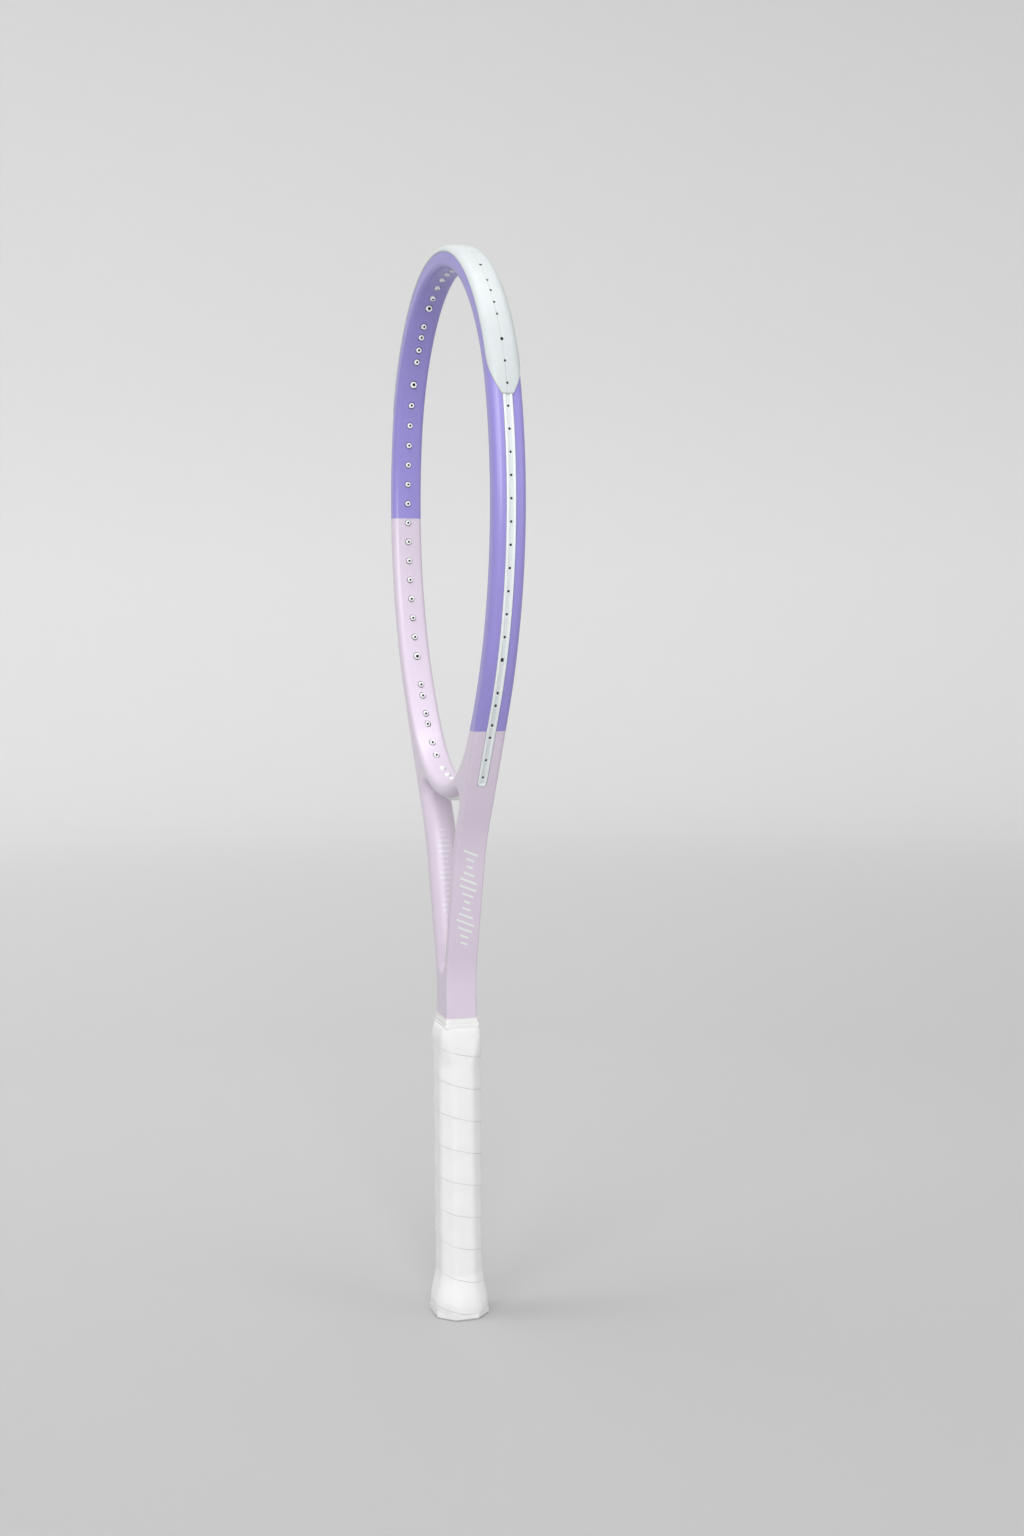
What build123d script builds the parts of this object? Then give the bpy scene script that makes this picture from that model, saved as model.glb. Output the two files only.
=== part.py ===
"""Unstrung tennis racket frame, standing on its butt cap.

Z runs up the racket, X lies across the head in the string plane and Y is normal to the strings.
The origin is the middle of the butt cap's resting face. Sizes are millimetres and degrees.
"""
from math import atan2, cos, degrees, isclose, radians, sin, sqrt, tan
import os

from build123d import *

os.makedirs("parts", exist_ok=True)

# Frame: the hoop's outline is a chain of tangent arcs from the crown down each side
LENGTH = 685.0            # crown of the bumper guard to the resting face
BEAM = 20.0               # depth of the tube along Y
TUBE = 13.0               # width of the tube in the string plane
WALL = 1.6                # moulded carbon wall
OUTER_ROUND = 3.0         # rounding of the tube's outer corners
INNER_ROUND = 4.5         # rounding of the tube's inner corners
CROWN_R, CROWN_SWEEP = 118.0, 34.0
SHOULDER_R, SHOULDER_SWEEP = 138.0, 42.0
SIDE_R, SIDE_SWEEP = 240.0, 46.5
OPENING_SIDE_SWEEP = 54.0  # the head opening follows the side radius further than the tube
THROAT_RUN = 99.0         # straight run of each side, from the hoop to the throat's bend
THROAT_BEND_R = 120.0
STEM_BEND_R = 60.0
STEM_WIDTH = 26.4         # the two shafts side by side, above the handle
STEM_JOIN_Z = 226.0       # height at which the shafts become parallel
STEM_FOOT_Z = 184.5       # shoulder of the stem, where the handle begins
STEM_WEB = 2.8            # the two shafts' walls, back to back
BRIDGE_DEPTH = 10.8       # thickness of the throat bridge in the string plane
BRIDGE_HALF_ANGLE = 26.0  # the bridge's own moulding, each side of the centre
THROAT_CORNER_R, THROAT_FOOT_R = 5.0, 1.5

# Hairpin: the shafts go on inside the handle, smaller
HAIRPIN_X, HAIRPIN_Y, HAIRPIN_ROUND = 20.0, 15.0, 3.0
HAIRPIN_FOOT_Z = 16.0

# String holes of one half; the tilt is the drilling direction above the X axis
CROSS_TOP_Z, CROSS_PITCH, CROSS_COUNT = 612.2, 13.18, 15
CROSSES_IN_BUMPER = 3
CROWN_HOLES = ((6.4, 88), (19.2, 84), (32.4, 76), (46.5, 58), (61.0, 18))       # X, tilt
SHOULDER_HOLES = ((648.6, 13), (642.0, 10), (634.4, 8), (627.0, 6))            # Z, tilt
THROAT_HOLES = ((408.2, -2), (400.7, -3), (388.7, -3), (381.4, -6), (367.9, -12), (357.5, -18))
BRIDGE_HOLES_X = (6.0, 18.0, 30.0)
CROWN_TIE_OFF_X = 61.0    # the wider holes take two strings
CROSS_TIE_OFFS = (0, CROSS_COUNT - 1)
BARREL_R, BARREL_BORE_R = 1.6, 0.75
WIDE_BARREL_R, WIDE_BORE_R = 2.0, 1.0
BARREL_PROUD = 1.5        # barrels stand out of the inner face by this
BARREL_ROOM = 0.05        # radial room round a barrel

# Grommet strips and bumper guard
STRIP_WIDTH, STRIP_DEPTH, STRIP_PROUD, STRIP_ROOM = 5.8, 1.0, 0.3, 0.1
CHANNEL_WIDTH, CHANNEL_DEPTH = 2.6, 0.6
STRIP_FOOT_Z = 349.5
BUMPER_SKIN = 1.2         # thickness over the crown
BUMPER_CHEEK = 0.6        # thickness over the tube's two faces
BUMPER_WRAP = 5.5         # how far the cheeks reach inwards
BUMPER_ROUND = 4.0
BUMPER_EDGE_Z, BUMPER_TIP_Z, BUMPER_TIP_WIDTH = 600.0, 579.5, 7.0
THROAT_STRIP_SKIN, THROAT_STRIP_WIDTH, THROAT_STRIP_HALF_ANGLE = 1.8, 8.0, 20.5

# Handle: each octagon is its size along X, its size along Y and its chamfer leg
PALLET = (27.9, 24.4, 6.8)
PALLET_FOOT_Z = 3.0
ADHESIVE = (28.5, 25.0, 6.9)
GRIP, GRIP_BORE = (31.5, 28.0, 7.5), (28.7, 25.2, 7.0)
GRIP_TOP, GRIP_TOP_BORE = (28.6, 22.4, 2.2), (26.8, 20.4, 0.9)
GRIP_FOOT_Z, GRIP_SHOULDER_Z, GRIP_TOP_Z = 4.0, 185.0, 191.0
FLARE, FLARE_BORE, NECK_BORE = (39.0, 35.5, 9.7), (35.6, 32.1, 9.0), (29.3, 25.8, 7.2)
FLARE_LOW_Z, FLARE_TOP_Z = 9.0, 28.0
CAP_LIP, CAP_SKIRT, CAP_NECK = (38.2, 34.7, 9.5), (35.4, 31.9, 9.0), (29.1, 25.6, 7.2)
CAP_BORE = (28.1, 24.6, 6.8)
CAP_EDGE = 1.0
TAPE_TOP_Z, TAPE_SKIN, TAPE_ROOM = 196.5, 0.8, 0.1

# Trap door in the butt cap, a plug that pulls straight out
DOOR_X, DOOR_Y, DOOR_THICK, DOOR_CORNER, DOOR_RECESS = 17.0, 11.0, 1.6, 2.0, 0.4
DOOR_ROOM = 0.35
DOOR_LEG_X, DOOR_LEG_Y, DOOR_LEG_TOP_Z = 1.4, 6.0, 10.0
PRY_NOTCH_X, PRY_NOTCH_Y, PRY_NOTCH_Z = 6.0, 1.4, 0.7

# Small handle hardware
STAPLE_THICK, STAPLE_HIGH, STAPLE_CROWN, STAPLE_LEG = 0.9, 1.2, 10.0, 4.5
STAPLE_Y, STAPLE_Z = 13.7, 22.0
TACK_HEAD_R, TACK_HEAD, TACK_SHANK_R, TACK_SHANK, TACK_Z = 1.8, 0.5, 0.6, 8.0, 7.0
WEIGHT_FOOT_Z, WEIGHT_TOP_Z, WEIGHT_ROOM = 20.0, 32.0, 0.2

# Worked out from the driving sizes
TUBE_TOP_Z = LENGTH - BUMPER_SKIN
ARCS = ((CROWN_R, CROWN_SWEEP), (SHOULDER_R, SHOULDER_SWEEP), (SIDE_R, SIDE_SWEEP))
HOOP_TURN = CROWN_SWEEP + SHOULDER_SWEEP + SIDE_SWEEP
OPENING_TURN = CROWN_SWEEP + SHOULDER_SWEEP + OPENING_SIDE_SWEEP
BIG = 400.0


def travel(turn):
    """Direction of the outline down the right side, once it has turned this far."""
    return Vector(cos(radians(turn)), -sin(radians(turn)))


def outward(turn):
    """Unit normal of the right side at this turn, in the string plane."""
    return Vector(sin(radians(turn)), cos(radians(turn)))


def arc_centres():
    """Centres of the hoop's three arcs, and the point where the last one ends."""
    point, turn, centres = Vector(0, TUBE_TOP_Z), 0.0, []
    for radius, sweep in ARCS:
        centres.append(point - outward(turn) * radius)
        turn += sweep
        point = centres[-1] + outward(turn) * radius
    return centres, point


(CROWN_CENTRE, SHOULDER_CENTRE, SIDE_CENTRE), HOOP_END = arc_centres()
THROAT_BEND = HOOP_END + travel(HOOP_TURN) * THROAT_RUN
STEM_CORNER = Vector(STEM_WIDTH / 2, STEM_JOIN_Z)
STEM_SLOPE = THROAT_BEND - STEM_CORNER
STEM_TURN = 90 + degrees(atan2(STEM_SLOPE.X, STEM_SLOPE.Y))
OPENING_LOW = SIDE_CENTRE + outward(OPENING_TURN) * (SIDE_R - TUBE)
BRIDGE_R = OPENING_LOW.X / sin(radians(OPENING_TURN))
BRIDGE_CENTRE_Z = OPENING_LOW.Y - BRIDGE_R * cos(radians(OPENING_TURN))


def shifted(corner, turn_before, turn_after, inset):
    """A corner of the right side's outline, moved inwards along its bisector."""
    half = radians((turn_after - turn_before) / 2)
    return corner - outward((turn_before + turn_after) / 2) * (inset / cos(half))


def hoop_arcs(inset, sweeps, closing_radius=None):
    """Draw the arcs of the right side, inset from the outline, and return their end."""
    radii = [radius - inset for radius, _ in ARCS] + [closing_radius]
    start, turn = Vector(0, TUBE_TOP_Z - inset), 0.0
    for radius, sweep in zip(radii, sweeps):
        arc = JernArc(start, travel(turn), radius, -sweep)
        start, turn = arc @ 1, turn + sweep
    return start


def outline_half(inset, foot_z=STEM_FOOT_Z, mode=Mode.ADD):
    """Fill the right half of the frame's outline, from the crown to the stem's foot."""
    with BuildLine() as edge:
        start = hoop_arcs(inset, (CROWN_SWEEP, SHOULDER_SWEEP, SIDE_SWEEP))
        bend = shifted(THROAT_BEND, HOOP_TURN, STEM_TURN, inset)
        corner = shifted(STEM_CORNER, STEM_TURN, 90, inset)
        side = FilletPolyline(start, bend, corner, (corner.X, foot_z),
                              radius=[THROAT_BEND_R + inset, STEM_BEND_R + inset])
        Polyline(side @ 1, (0, foot_z), (0, TUBE_TOP_Z - inset))
    make_face(edge.edges(), mode=mode)


def throat_half(inset):
    """Cut the right half of the throat's triangle, which runs up into the head opening."""
    top = HOOP_END - outward(HOOP_TURN) * inset
    bend = shifted(THROAT_BEND, HOOP_TURN, STEM_TURN, inset)
    foot = bend + travel(STEM_TURN) * (bend.X / -travel(STEM_TURN).X)
    with BuildLine() as edge:
        side = FilletPolyline(top, bend, foot, radius=THROAT_BEND_R + inset)
        Polyline(side @ 1, (0, top.Y), top)
    make_face(edge.edges(), mode=Mode.SUBTRACT)


def opening_half(inset):
    """Cut the right half of the head opening."""
    closing = BRIDGE_R - (inset - TUBE)
    sweeps = (CROWN_SWEEP, SHOULDER_SWEEP, OPENING_SIDE_SWEEP, 180 - OPENING_TURN)
    with BuildLine() as edge:
        low = hoop_arcs(inset, sweeps, closing)
        Line(low, (0, TUBE_TOP_Z - inset))
    make_face(edge.edges(), mode=Mode.SUBTRACT)


def frame_outline(inset):
    """Sketch the whole frame in the string plane, shrunk by inset, with its openings."""
    with BuildSketch(Plane.XZ) as outline:
        outline_half(inset, STEM_FOOT_Z + inset)
        throat_half(TUBE - inset)
        with Locations((0, BRIDGE_CENTRE_Z)):
            Circle(BRIDGE_R + BRIDGE_DEPTH - inset)
        opening_half(TUBE - inset)
        with Locations((-BIG, 0)):
            Rectangle(2 * BIG, 4 * BIG, mode=Mode.SUBTRACT)
        mirror(about=Plane.YZ)
        for count, radius in ((2, THROAT_CORNER_R), (1, THROAT_FOOT_R)):
            throat = outline.sketch_local.face().inner_wires().sort_by(Axis.Y)[0]
            points = throat.vertices().sort_by(Axis.Y)
            fillet(points[-2:] if count == 2 else points[:1], radius + inset)
    return outline.sketch


def frame_blank(inset):
    """The frame as one solid, shrunk by inset all over, with its corners rounded."""
    with BuildPart() as blank:
        extrude(frame_outline(inset), amount=BEAM / 2 - inset, both=True)
        for end in (0, -1):
            rim = blank.faces().sort_by(Axis.Y)[end].outer_wire().edges()
            fillet(rim.filter_by(lambda e: e.center().Z > STEM_FOOT_Z + WALL + 1),
                   OUTER_ROUND - inset)
            face = blank.faces().sort_by(Axis.Y)[end]
            fillet([e for wire in face.inner_wires() for e in wire.edges()], INNER_ROUND - inset)
    return blank.part


def band(outer_inset, inner_inset, low_z, high_z, both_sides=True):
    """Sketch a strip along the outline, between two insets (or solid) and two heights."""
    with BuildSketch(Plane.XZ) as strip:
        outline_half(outer_inset)
        if inner_inset is not None:
            outline_half(inner_inset, mode=Mode.SUBTRACT)
        with Locations((0, (low_z + high_z) / 2)):
            Rectangle(BIG, high_z - low_z, mode=Mode.INTERSECT)
        if both_sides:
            mirror(about=Plane.YZ)
    return strip.sketch


def side_middle(z, inset=TUBE / 2):
    """X of the right side's tube at this height, and its normal's angle above the X axis."""
    if z > HOOP_END.Y:
        high = z > SHOULDER_CENTRE.Y + (SHOULDER_R - inset) * outward(CROWN_SWEEP + SHOULDER_SWEEP).Y
        centre, radius = (SHOULDER_CENTRE, SHOULDER_R) if high else (SIDE_CENTRE, SIDE_R)
        x = centre.X + sqrt((radius - inset) ** 2 - (z - centre.Y) ** 2)
        return x, degrees(atan2(z - centre.Y, x - centre.X))
    end = HOOP_END - outward(HOOP_TURN) * inset
    return end.X - (end.Y - z) * tan(radians(HOOP_TURN - 90)), 90 - HOOP_TURN


def crown_middle(x, inset=TUBE / 2):
    """Height of the crown's tube at this X, and its normal's angle above the X axis."""
    rise = sqrt((CROWN_R - inset) ** 2 - x ** 2)
    return CROWN_CENTRE.Y + rise, degrees(atan2(rise, x))


def string_hole(x, z, normal, tilt, wide):
    """One hole of the right side: its middle, drilling direction, half length and width."""
    return {"x": x, "z": z, "tilt": tilt, "wide": wide,
            "half": TUBE / 2 / cos(radians(tilt - normal))}


def crown_holes():
    """Main-string holes across the crown."""
    for x, tilt in CROWN_HOLES:
        z, normal = crown_middle(x)
        yield string_hole(x, z, normal, tilt, x == CROWN_TIE_OFF_X)


def side_holes(rows, tie_offs=()):
    """Holes of the side at the given heights and tilts."""
    for index, (z, tilt) in enumerate(rows):
        x, normal = side_middle(z)
        yield string_hole(x, z, normal, tilt, index in tie_offs)


CROSS_ROWS = [(CROSS_TOP_Z - CROSS_PITCH * i, 0) for i in range(CROSS_COUNT)]
CROSSES = list(side_holes(CROSS_ROWS, CROSS_TIE_OFFS))
BUMPER_HOLES = [*crown_holes(), *side_holes(SHOULDER_HOLES), *CROSSES[:CROSSES_IN_BUMPER]]
SIDE_HOLES = [*CROSSES[CROSSES_IN_BUMPER:], *side_holes(THROAT_HOLES)]


def bridge_hole(x):
    """One vertical hole of the bridge, from its strip's middle to above the opening's edge."""
    low = BRIDGE_CENTRE_Z - sqrt((BRIDGE_R + BRIDGE_DEPTH + THROAT_STRIP_SKIN / 2) ** 2 - x * x)
    high = BRIDGE_CENTRE_Z - sqrt(BRIDGE_R ** 2 - x * x) + BARREL_PROUD
    return {"x": x, "low": low, "high": high}


BRIDGE_HOLES = [bridge_hole(side * x) for x in BRIDGE_HOLES_X for side in (1, -1)]


def bores(holes, sides, wide, radius, outer_room, inner_room):
    """Cylinders along one width of holes, reaching past the tube by the two rooms."""
    planes = []
    for hole in (h for h in holes if h["wide"] == wide):
        for side in sides:
            along = Vector(side * cos(radians(hole["tilt"])), 0, sin(radians(hole["tilt"])))
            length = 2 * hole["half"] + outer_room + inner_room
            middle = Vector(side * hole["x"], 0, hole["z"]) + along * ((outer_room - inner_room) / 2)
            planes.append((Plane(origin=middle, x_dir=(0, 1, 0), z_dir=along), length))
    return [plane * Cylinder(radius, length, mode=Mode.PRIVATE) for plane, length in planes]


def barrels(holes, sides, narrow_r, wide_r, outer_room, inner_room):
    """Cylinders along every hole, at the radius that suits each one's width."""
    return (bores(holes, sides, False, narrow_r, outer_room, inner_room)
            + bores(holes, sides, True, wide_r, outer_room, inner_room))


def bridge_bores(radius, below, above):
    """Cylinders along the bridge's holes, longer by the two given lengths."""
    return [Pos(h["x"], 0, h["low"] - below)
            * Cylinder(radius, h["high"] - h["low"] + below + above, mode=Mode.PRIVATE,
                       align=(Align.CENTER, Align.CENTER, Align.MIN)) for h in BRIDGE_HOLES]


def octagon(size):
    """Sketch one section of the handle."""
    x, y, leg = size
    Rectangle(x, y)
    chamfer(vertices(), leg)


def prism(size, low_z, high_z, mode=Mode.ADD):
    """A straight octagonal length of the handle."""
    with BuildSketch(Plane.XY.offset(low_z)) as section:
        octagon(size)
    extrude(section.sketch, amount=high_z - low_z, mode=mode)


def taper(low_size, low_z, high_size, high_z, mode=Mode.ADD):
    """An octagonal length that changes size from one end to the other."""
    with BuildSketch(Plane.XY.offset(low_z)) as low:
        octagon(low_size)
    with BuildSketch(Plane.XY.offset(high_z)) as high:
        octagon(high_size)
    loft([low.sketch, high.sketch], ruled=True, mode=mode)


def round_bar(x, y, corner, low_z, high_z, mode=Mode.ADD):
    """An upright bar of rounded rectangular section."""
    with BuildSketch(Plane.XY.offset(low_z)) as section:
        RectangleRounded(x, y, corner)
    extrude(section.sketch, amount=high_z - low_z, mode=mode)


def save(piece, name):
    """Label a finished piece and write it."""
    piece.part.label = name
    export_step(piece.part, f"parts/{name}.step")


CAVITY = frame_blank(WALL)
BLANK = frame_blank(0)
BOTH_SIDES = (1, -1)
ALL_HOLES = BUMPER_HOLES + SIDE_HOLES

# The piece of tube that the bridge fills, a sector below the head opening
with BuildPart() as bridge_sector:
    with BuildSketch(Plane.XZ):
        with BuildLine():
            low = BRIDGE_R + BRIDGE_DEPTH + 1
            reach = radians(BRIDGE_HALF_ANGLE)
            ends = [(side * low * sin(reach), BRIDGE_CENTRE_Z - low * cos(reach)) for side in (1, -1)]
            ThreePointArc(ends[0], (0, BRIDGE_CENTRE_Z - low), ends[1])
            Polyline(ends[1], (0, BRIDGE_CENTRE_Z), ends[0])
        make_face()
    extrude(amount=BEAM, both=True)

# The hollow of the tube, split by the web where the two shafts run side by side
with BuildPart() as hollow:
    add(CAVITY)
    round_bar(HAIRPIN_X - 2 * WALL, HAIRPIN_Y - 2 * WALL, HAIRPIN_ROUND - WALL,
              HAIRPIN_FOOT_Z, STEM_FOOT_Z + 2 * WALL)
    with BuildSketch(Plane.XY.offset(HAIRPIN_FOOT_Z)):
        Rectangle(STEM_WEB, BEAM)
    extrude(amount=STEM_JOIN_Z - HAIRPIN_FOOT_Z, mode=Mode.SUBTRACT)

# Carbon tube: hoop, two shafts, stem, and the hairpin inside the handle
with BuildPart() as frame_tube:
    add(BLANK)
    round_bar(HAIRPIN_X, HAIRPIN_Y, HAIRPIN_ROUND, HAIRPIN_FOOT_Z, STEM_FOOT_Z)
    add(hollow.part, mode=Mode.SUBTRACT)
    add(bridge_sector.part, mode=Mode.SUBTRACT)
    groove = band(-STRIP_PROUD - STRIP_ROOM, STRIP_DEPTH, STRIP_FOOT_Z - STRIP_ROOM, BUMPER_TIP_Z)
    extrude(groove, amount=STRIP_WIDTH / 2 + STRIP_ROOM, both=True, mode=Mode.SUBTRACT)
    add(barrels(ALL_HOLES, BOTH_SIDES, BARREL_R + BARREL_ROOM, WIDE_BARREL_R + BARREL_ROOM,
                TUBE, BARREL_PROUD), mode=Mode.SUBTRACT)
save(frame_tube, "frame_tube")

# Throat bridge, moulded apart and bonded between the shafts, with its foam core
with BuildPart() as throat_bridge:
    add(BLANK)
    add(bridge_sector.part, mode=Mode.INTERSECT)
    add(CAVITY, mode=Mode.SUBTRACT)
    add(bridge_bores(BARREL_R + BARREL_ROOM, BRIDGE_DEPTH, BRIDGE_DEPTH), mode=Mode.SUBTRACT)
save(throat_bridge, "throat_bridge")

with BuildPart() as bridge_foam_core:
    add(CAVITY)
    add(bridge_sector.part, mode=Mode.INTERSECT)
    add(bridge_bores(BARREL_R + BARREL_ROOM, BRIDGE_DEPTH, BRIDGE_DEPTH), mode=Mode.SUBTRACT)
save(bridge_foam_core, "bridge_foam_core")


def crown_cover(outset, half_depth, corner, wrap):
    """Solid of the crown down to the bumper's tips, rounded along its two outer edges."""
    rim_radii = [radius + outset for radius, _ in ARCS]
    with BuildPart() as cover:
        extrude(band(-outset, wrap, BUMPER_TIP_Z, LENGTH + 1), amount=half_depth, both=True)
        rim = cover.edges().filter_by(GeomType.CIRCLE).filter_by(
            lambda e: any(isclose(e.radius, radius) for radius in rim_radii))
        fillet(rim, corner)
    return cover.part


# Bumper guard: a skin over the crown with two tapering tips, and its barrels through the tube
with BuildPart() as bumper_skin:
    add(crown_cover(BUMPER_SKIN, BEAM / 2 + BUMPER_CHEEK, BUMPER_ROUND, BUMPER_WRAP))
    add(crown_cover(0, BEAM / 2, OUTER_ROUND, TUBE), mode=Mode.SUBTRACT)
    with BuildSketch(Plane.YZ):
        Polygon((-BEAM, LENGTH + 1), (-BEAM, BUMPER_EDGE_Z), (-BUMPER_TIP_WIDTH / 2, BUMPER_TIP_Z),
                (BUMPER_TIP_WIDTH / 2, BUMPER_TIP_Z), (BEAM, BUMPER_EDGE_Z), (BEAM, LENGTH + 1),
                align=None)
    extrude(amount=BIG, both=True, mode=Mode.INTERSECT)

with BuildPart() as bumper_guard:
    add(barrels(BUMPER_HOLES, BOTH_SIDES, BARREL_R, WIDE_BARREL_R, 2 * BUMPER_SKIN, BARREL_PROUD))
    add(crown_cover(BUMPER_SKIN, BEAM / 2, OUTER_ROUND, None), mode=Mode.INTERSECT)
    add(bumper_skin.part)
    add(barrels(BUMPER_HOLES, BOTH_SIDES, BARREL_BORE_R, WIDE_BORE_R, TUBE, TUBE),
        mode=Mode.SUBTRACT)
save(bumper_guard, "bumper_guard")


def grommet_strip(side):
    """The strip in one side's groove, with its string channel and its barrels."""
    with BuildPart() as strip:
        add(barrels(SIDE_HOLES, [1], BARREL_R, WIDE_BARREL_R, 0, BARREL_PROUD))
        floor = band(CHANNEL_DEPTH - STRIP_PROUD, None, STRIP_FOOT_Z, BUMPER_TIP_Z, False)
        extrude(floor, amount=BEAM, both=True, mode=Mode.INTERSECT)
        body = band(-STRIP_PROUD, STRIP_DEPTH, STRIP_FOOT_Z, BUMPER_TIP_Z, False)
        extrude(body, amount=STRIP_WIDTH / 2, both=True)
        channel = band(-2 * STRIP_PROUD, CHANNEL_DEPTH - STRIP_PROUD,
                       STRIP_FOOT_Z + CHANNEL_WIDTH / 2, BUMPER_TIP_Z, False)
        extrude(channel, amount=CHANNEL_WIDTH / 2, both=True, mode=Mode.SUBTRACT)
        add(barrels(SIDE_HOLES, [1], BARREL_BORE_R, WIDE_BORE_R, TUBE, TUBE), mode=Mode.SUBTRACT)
        if side < 0:
            mirror(about=Plane.YZ, mode=Mode.REPLACE)
    return strip


for side, name in ((1, "grommet_strip_right"), (-1, "grommet_strip_left")):
    save(grommet_strip(side), name)

# Throat strip: under the bridge, with six barrels up through it
with BuildPart() as throat_grommet_strip:
    with BuildSketch(Plane.XZ):
        with BuildLine():
            inner, outer = BRIDGE_R + BRIDGE_DEPTH, BRIDGE_R + BRIDGE_DEPTH + THROAT_STRIP_SKIN
            start, sweep = 270 - THROAT_STRIP_HALF_ANGLE, 2 * THROAT_STRIP_HALF_ANGLE
            near = CenterArc((0, BRIDGE_CENTRE_Z), inner, start, sweep)
            far = CenterArc((0, BRIDGE_CENTRE_Z), outer, start, sweep)
            Line(near @ 0, far @ 0)
            Line(near @ 1, far @ 1)
        make_face()
    extrude(amount=THROAT_STRIP_WIDTH / 2, both=True)
    add(bridge_bores(BARREL_R, 0, 0))
    add(bridge_bores(BARREL_BORE_R, BRIDGE_DEPTH, BRIDGE_DEPTH), mode=Mode.SUBTRACT)
save(throat_grommet_strip, "throat_grommet_strip")


def staples(mode=Mode.ADD):
    """Two flat staples, through the cap's neck into the pallet, front and back."""
    for side in (1, -1):
        with Locations((0, side * (STAPLE_Y - STAPLE_THICK / 2), STAPLE_Z)):
            Box(STAPLE_CROWN, STAPLE_THICK, STAPLE_HIGH, mode=mode)
        leg_x = (STAPLE_CROWN - STAPLE_THICK) / 2
        leg_y = side * (STAPLE_Y - STAPLE_THICK - STAPLE_LEG / 2)
        with Locations((leg_x, leg_y, STAPLE_Z), (-leg_x, leg_y, STAPLE_Z)):
            Box(STAPLE_THICK, STAPLE_LEG, STAPLE_HIGH, mode=mode)


def tack(mode=Mode.ADD):
    """The tack that holds the grip's start, driven in from the left side."""
    head_x = CAP_SKIRT[0] / 2
    seat = Plane(origin=(-head_x, 0, TACK_Z), z_dir=(-1, 0, 0))
    with Locations(seat):
        Cylinder(TACK_HEAD_R, TACK_HEAD, align=(Align.CENTER, Align.CENTER, Align.MIN), mode=mode)
        Cylinder(TACK_SHANK_R, TACK_SHANK, align=(Align.CENTER, Align.CENTER, Align.MAX), mode=mode)


def pallet(side):
    """Half of the handle's foam pallet, split at the string plane's middle."""
    with BuildPart() as half:
        prism(PALLET, PALLET_FOOT_Z, STEM_FOOT_Z)
        round_bar(HAIRPIN_X, HAIRPIN_Y, HAIRPIN_ROUND, PALLET_FOOT_Z, STEM_FOOT_Z, Mode.SUBTRACT)
        staples(Mode.SUBTRACT)
        tack(Mode.SUBTRACT)
        split(bisect_by=Plane.YZ, keep=Keep.TOP if side > 0 else Keep.BOTTOM)
    return half


for side, name in ((1, "pallet_right"), (-1, "pallet_left")):
    save(pallet(side), name)

# Balance weights, one in each shaft's end
with BuildPart() as tail_weights:
    channel_x = (HAIRPIN_X - 2 * WALL - STEM_WEB) / 2
    with BuildSketch(Plane.XY.offset(WEIGHT_FOOT_Z)):
        with Locations(((channel_x + STEM_WEB) / 2, 0), (-(channel_x + STEM_WEB) / 2, 0)):
            RectangleRounded(channel_x - 2 * WEIGHT_ROOM, HAIRPIN_Y - 2 * WALL - 2 * WEIGHT_ROOM,
                             HAIRPIN_ROUND - WALL)
    extrude(amount=WEIGHT_TOP_Z - WEIGHT_FOOT_Z)
save(tail_weights, "tail_weights")

# Butt cap: flared shell over the pallet's foot, with the trap door's opening
with BuildPart() as butt_cap:
    prism(CAP_LIP, 0, GRIP_FOOT_Z)
    chamfer(butt_cap.faces().sort_by(Axis.Z)[0].edges(), CAP_EDGE)
    prism(CAP_SKIRT, GRIP_FOOT_Z, FLARE_LOW_Z)
    taper(CAP_SKIRT, FLARE_LOW_Z, CAP_NECK, FLARE_TOP_Z)
    prism(CAP_BORE, PALLET_FOOT_Z, FLARE_TOP_Z, Mode.SUBTRACT)
    round_bar(DOOR_X + 2 * DOOR_ROOM, DOOR_Y + 2 * DOOR_ROOM, DOOR_CORNER + DOOR_ROOM,
              0, PALLET_FOOT_Z, Mode.SUBTRACT)
    staples(Mode.SUBTRACT)
    tack(Mode.SUBTRACT)
save(butt_cap, "butt_cap")

# Trap door: a plate with two legs and a pry notch in its outer face
with BuildPart() as butt_cap_door:
    round_bar(DOOR_X, DOOR_Y, DOOR_CORNER, DOOR_RECESS, DOOR_RECESS + DOOR_THICK)
    with BuildSketch(Plane.XY.offset(DOOR_RECESS + DOOR_THICK)):
        with Locations((DOOR_X / 2 - DOOR_LEG_X / 2, 0), (DOOR_LEG_X / 2 - DOOR_X / 2, 0)):
            Rectangle(DOOR_LEG_X, DOOR_LEG_Y)
    extrude(amount=DOOR_LEG_TOP_Z - DOOR_RECESS - DOOR_THICK)
    with BuildSketch(Plane.XY.offset(DOOR_RECESS)):
        with Locations((0, (PRY_NOTCH_Y - DOOR_Y) / 2)):
            Rectangle(PRY_NOTCH_X, PRY_NOTCH_Y)
    extrude(amount=PRY_NOTCH_Z, mode=Mode.SUBTRACT)
save(butt_cap_door, "butt_cap_door")

with BuildPart() as butt_cap_staples:
    staples()
save(butt_cap_staples, "butt_cap_staples")

with BuildPart() as grip_tack:
    tack()
save(grip_tack, "grip_tack")

# Adhesive tape between the pallets and the grip
with BuildPart() as adhesive_tape:
    prism(ADHESIVE, FLARE_TOP_Z, STEM_FOOT_Z)
    prism(PALLET, FLARE_TOP_Z, STEM_FOOT_Z, Mode.SUBTRACT)
save(adhesive_tape, "adhesive_tape")

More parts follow.
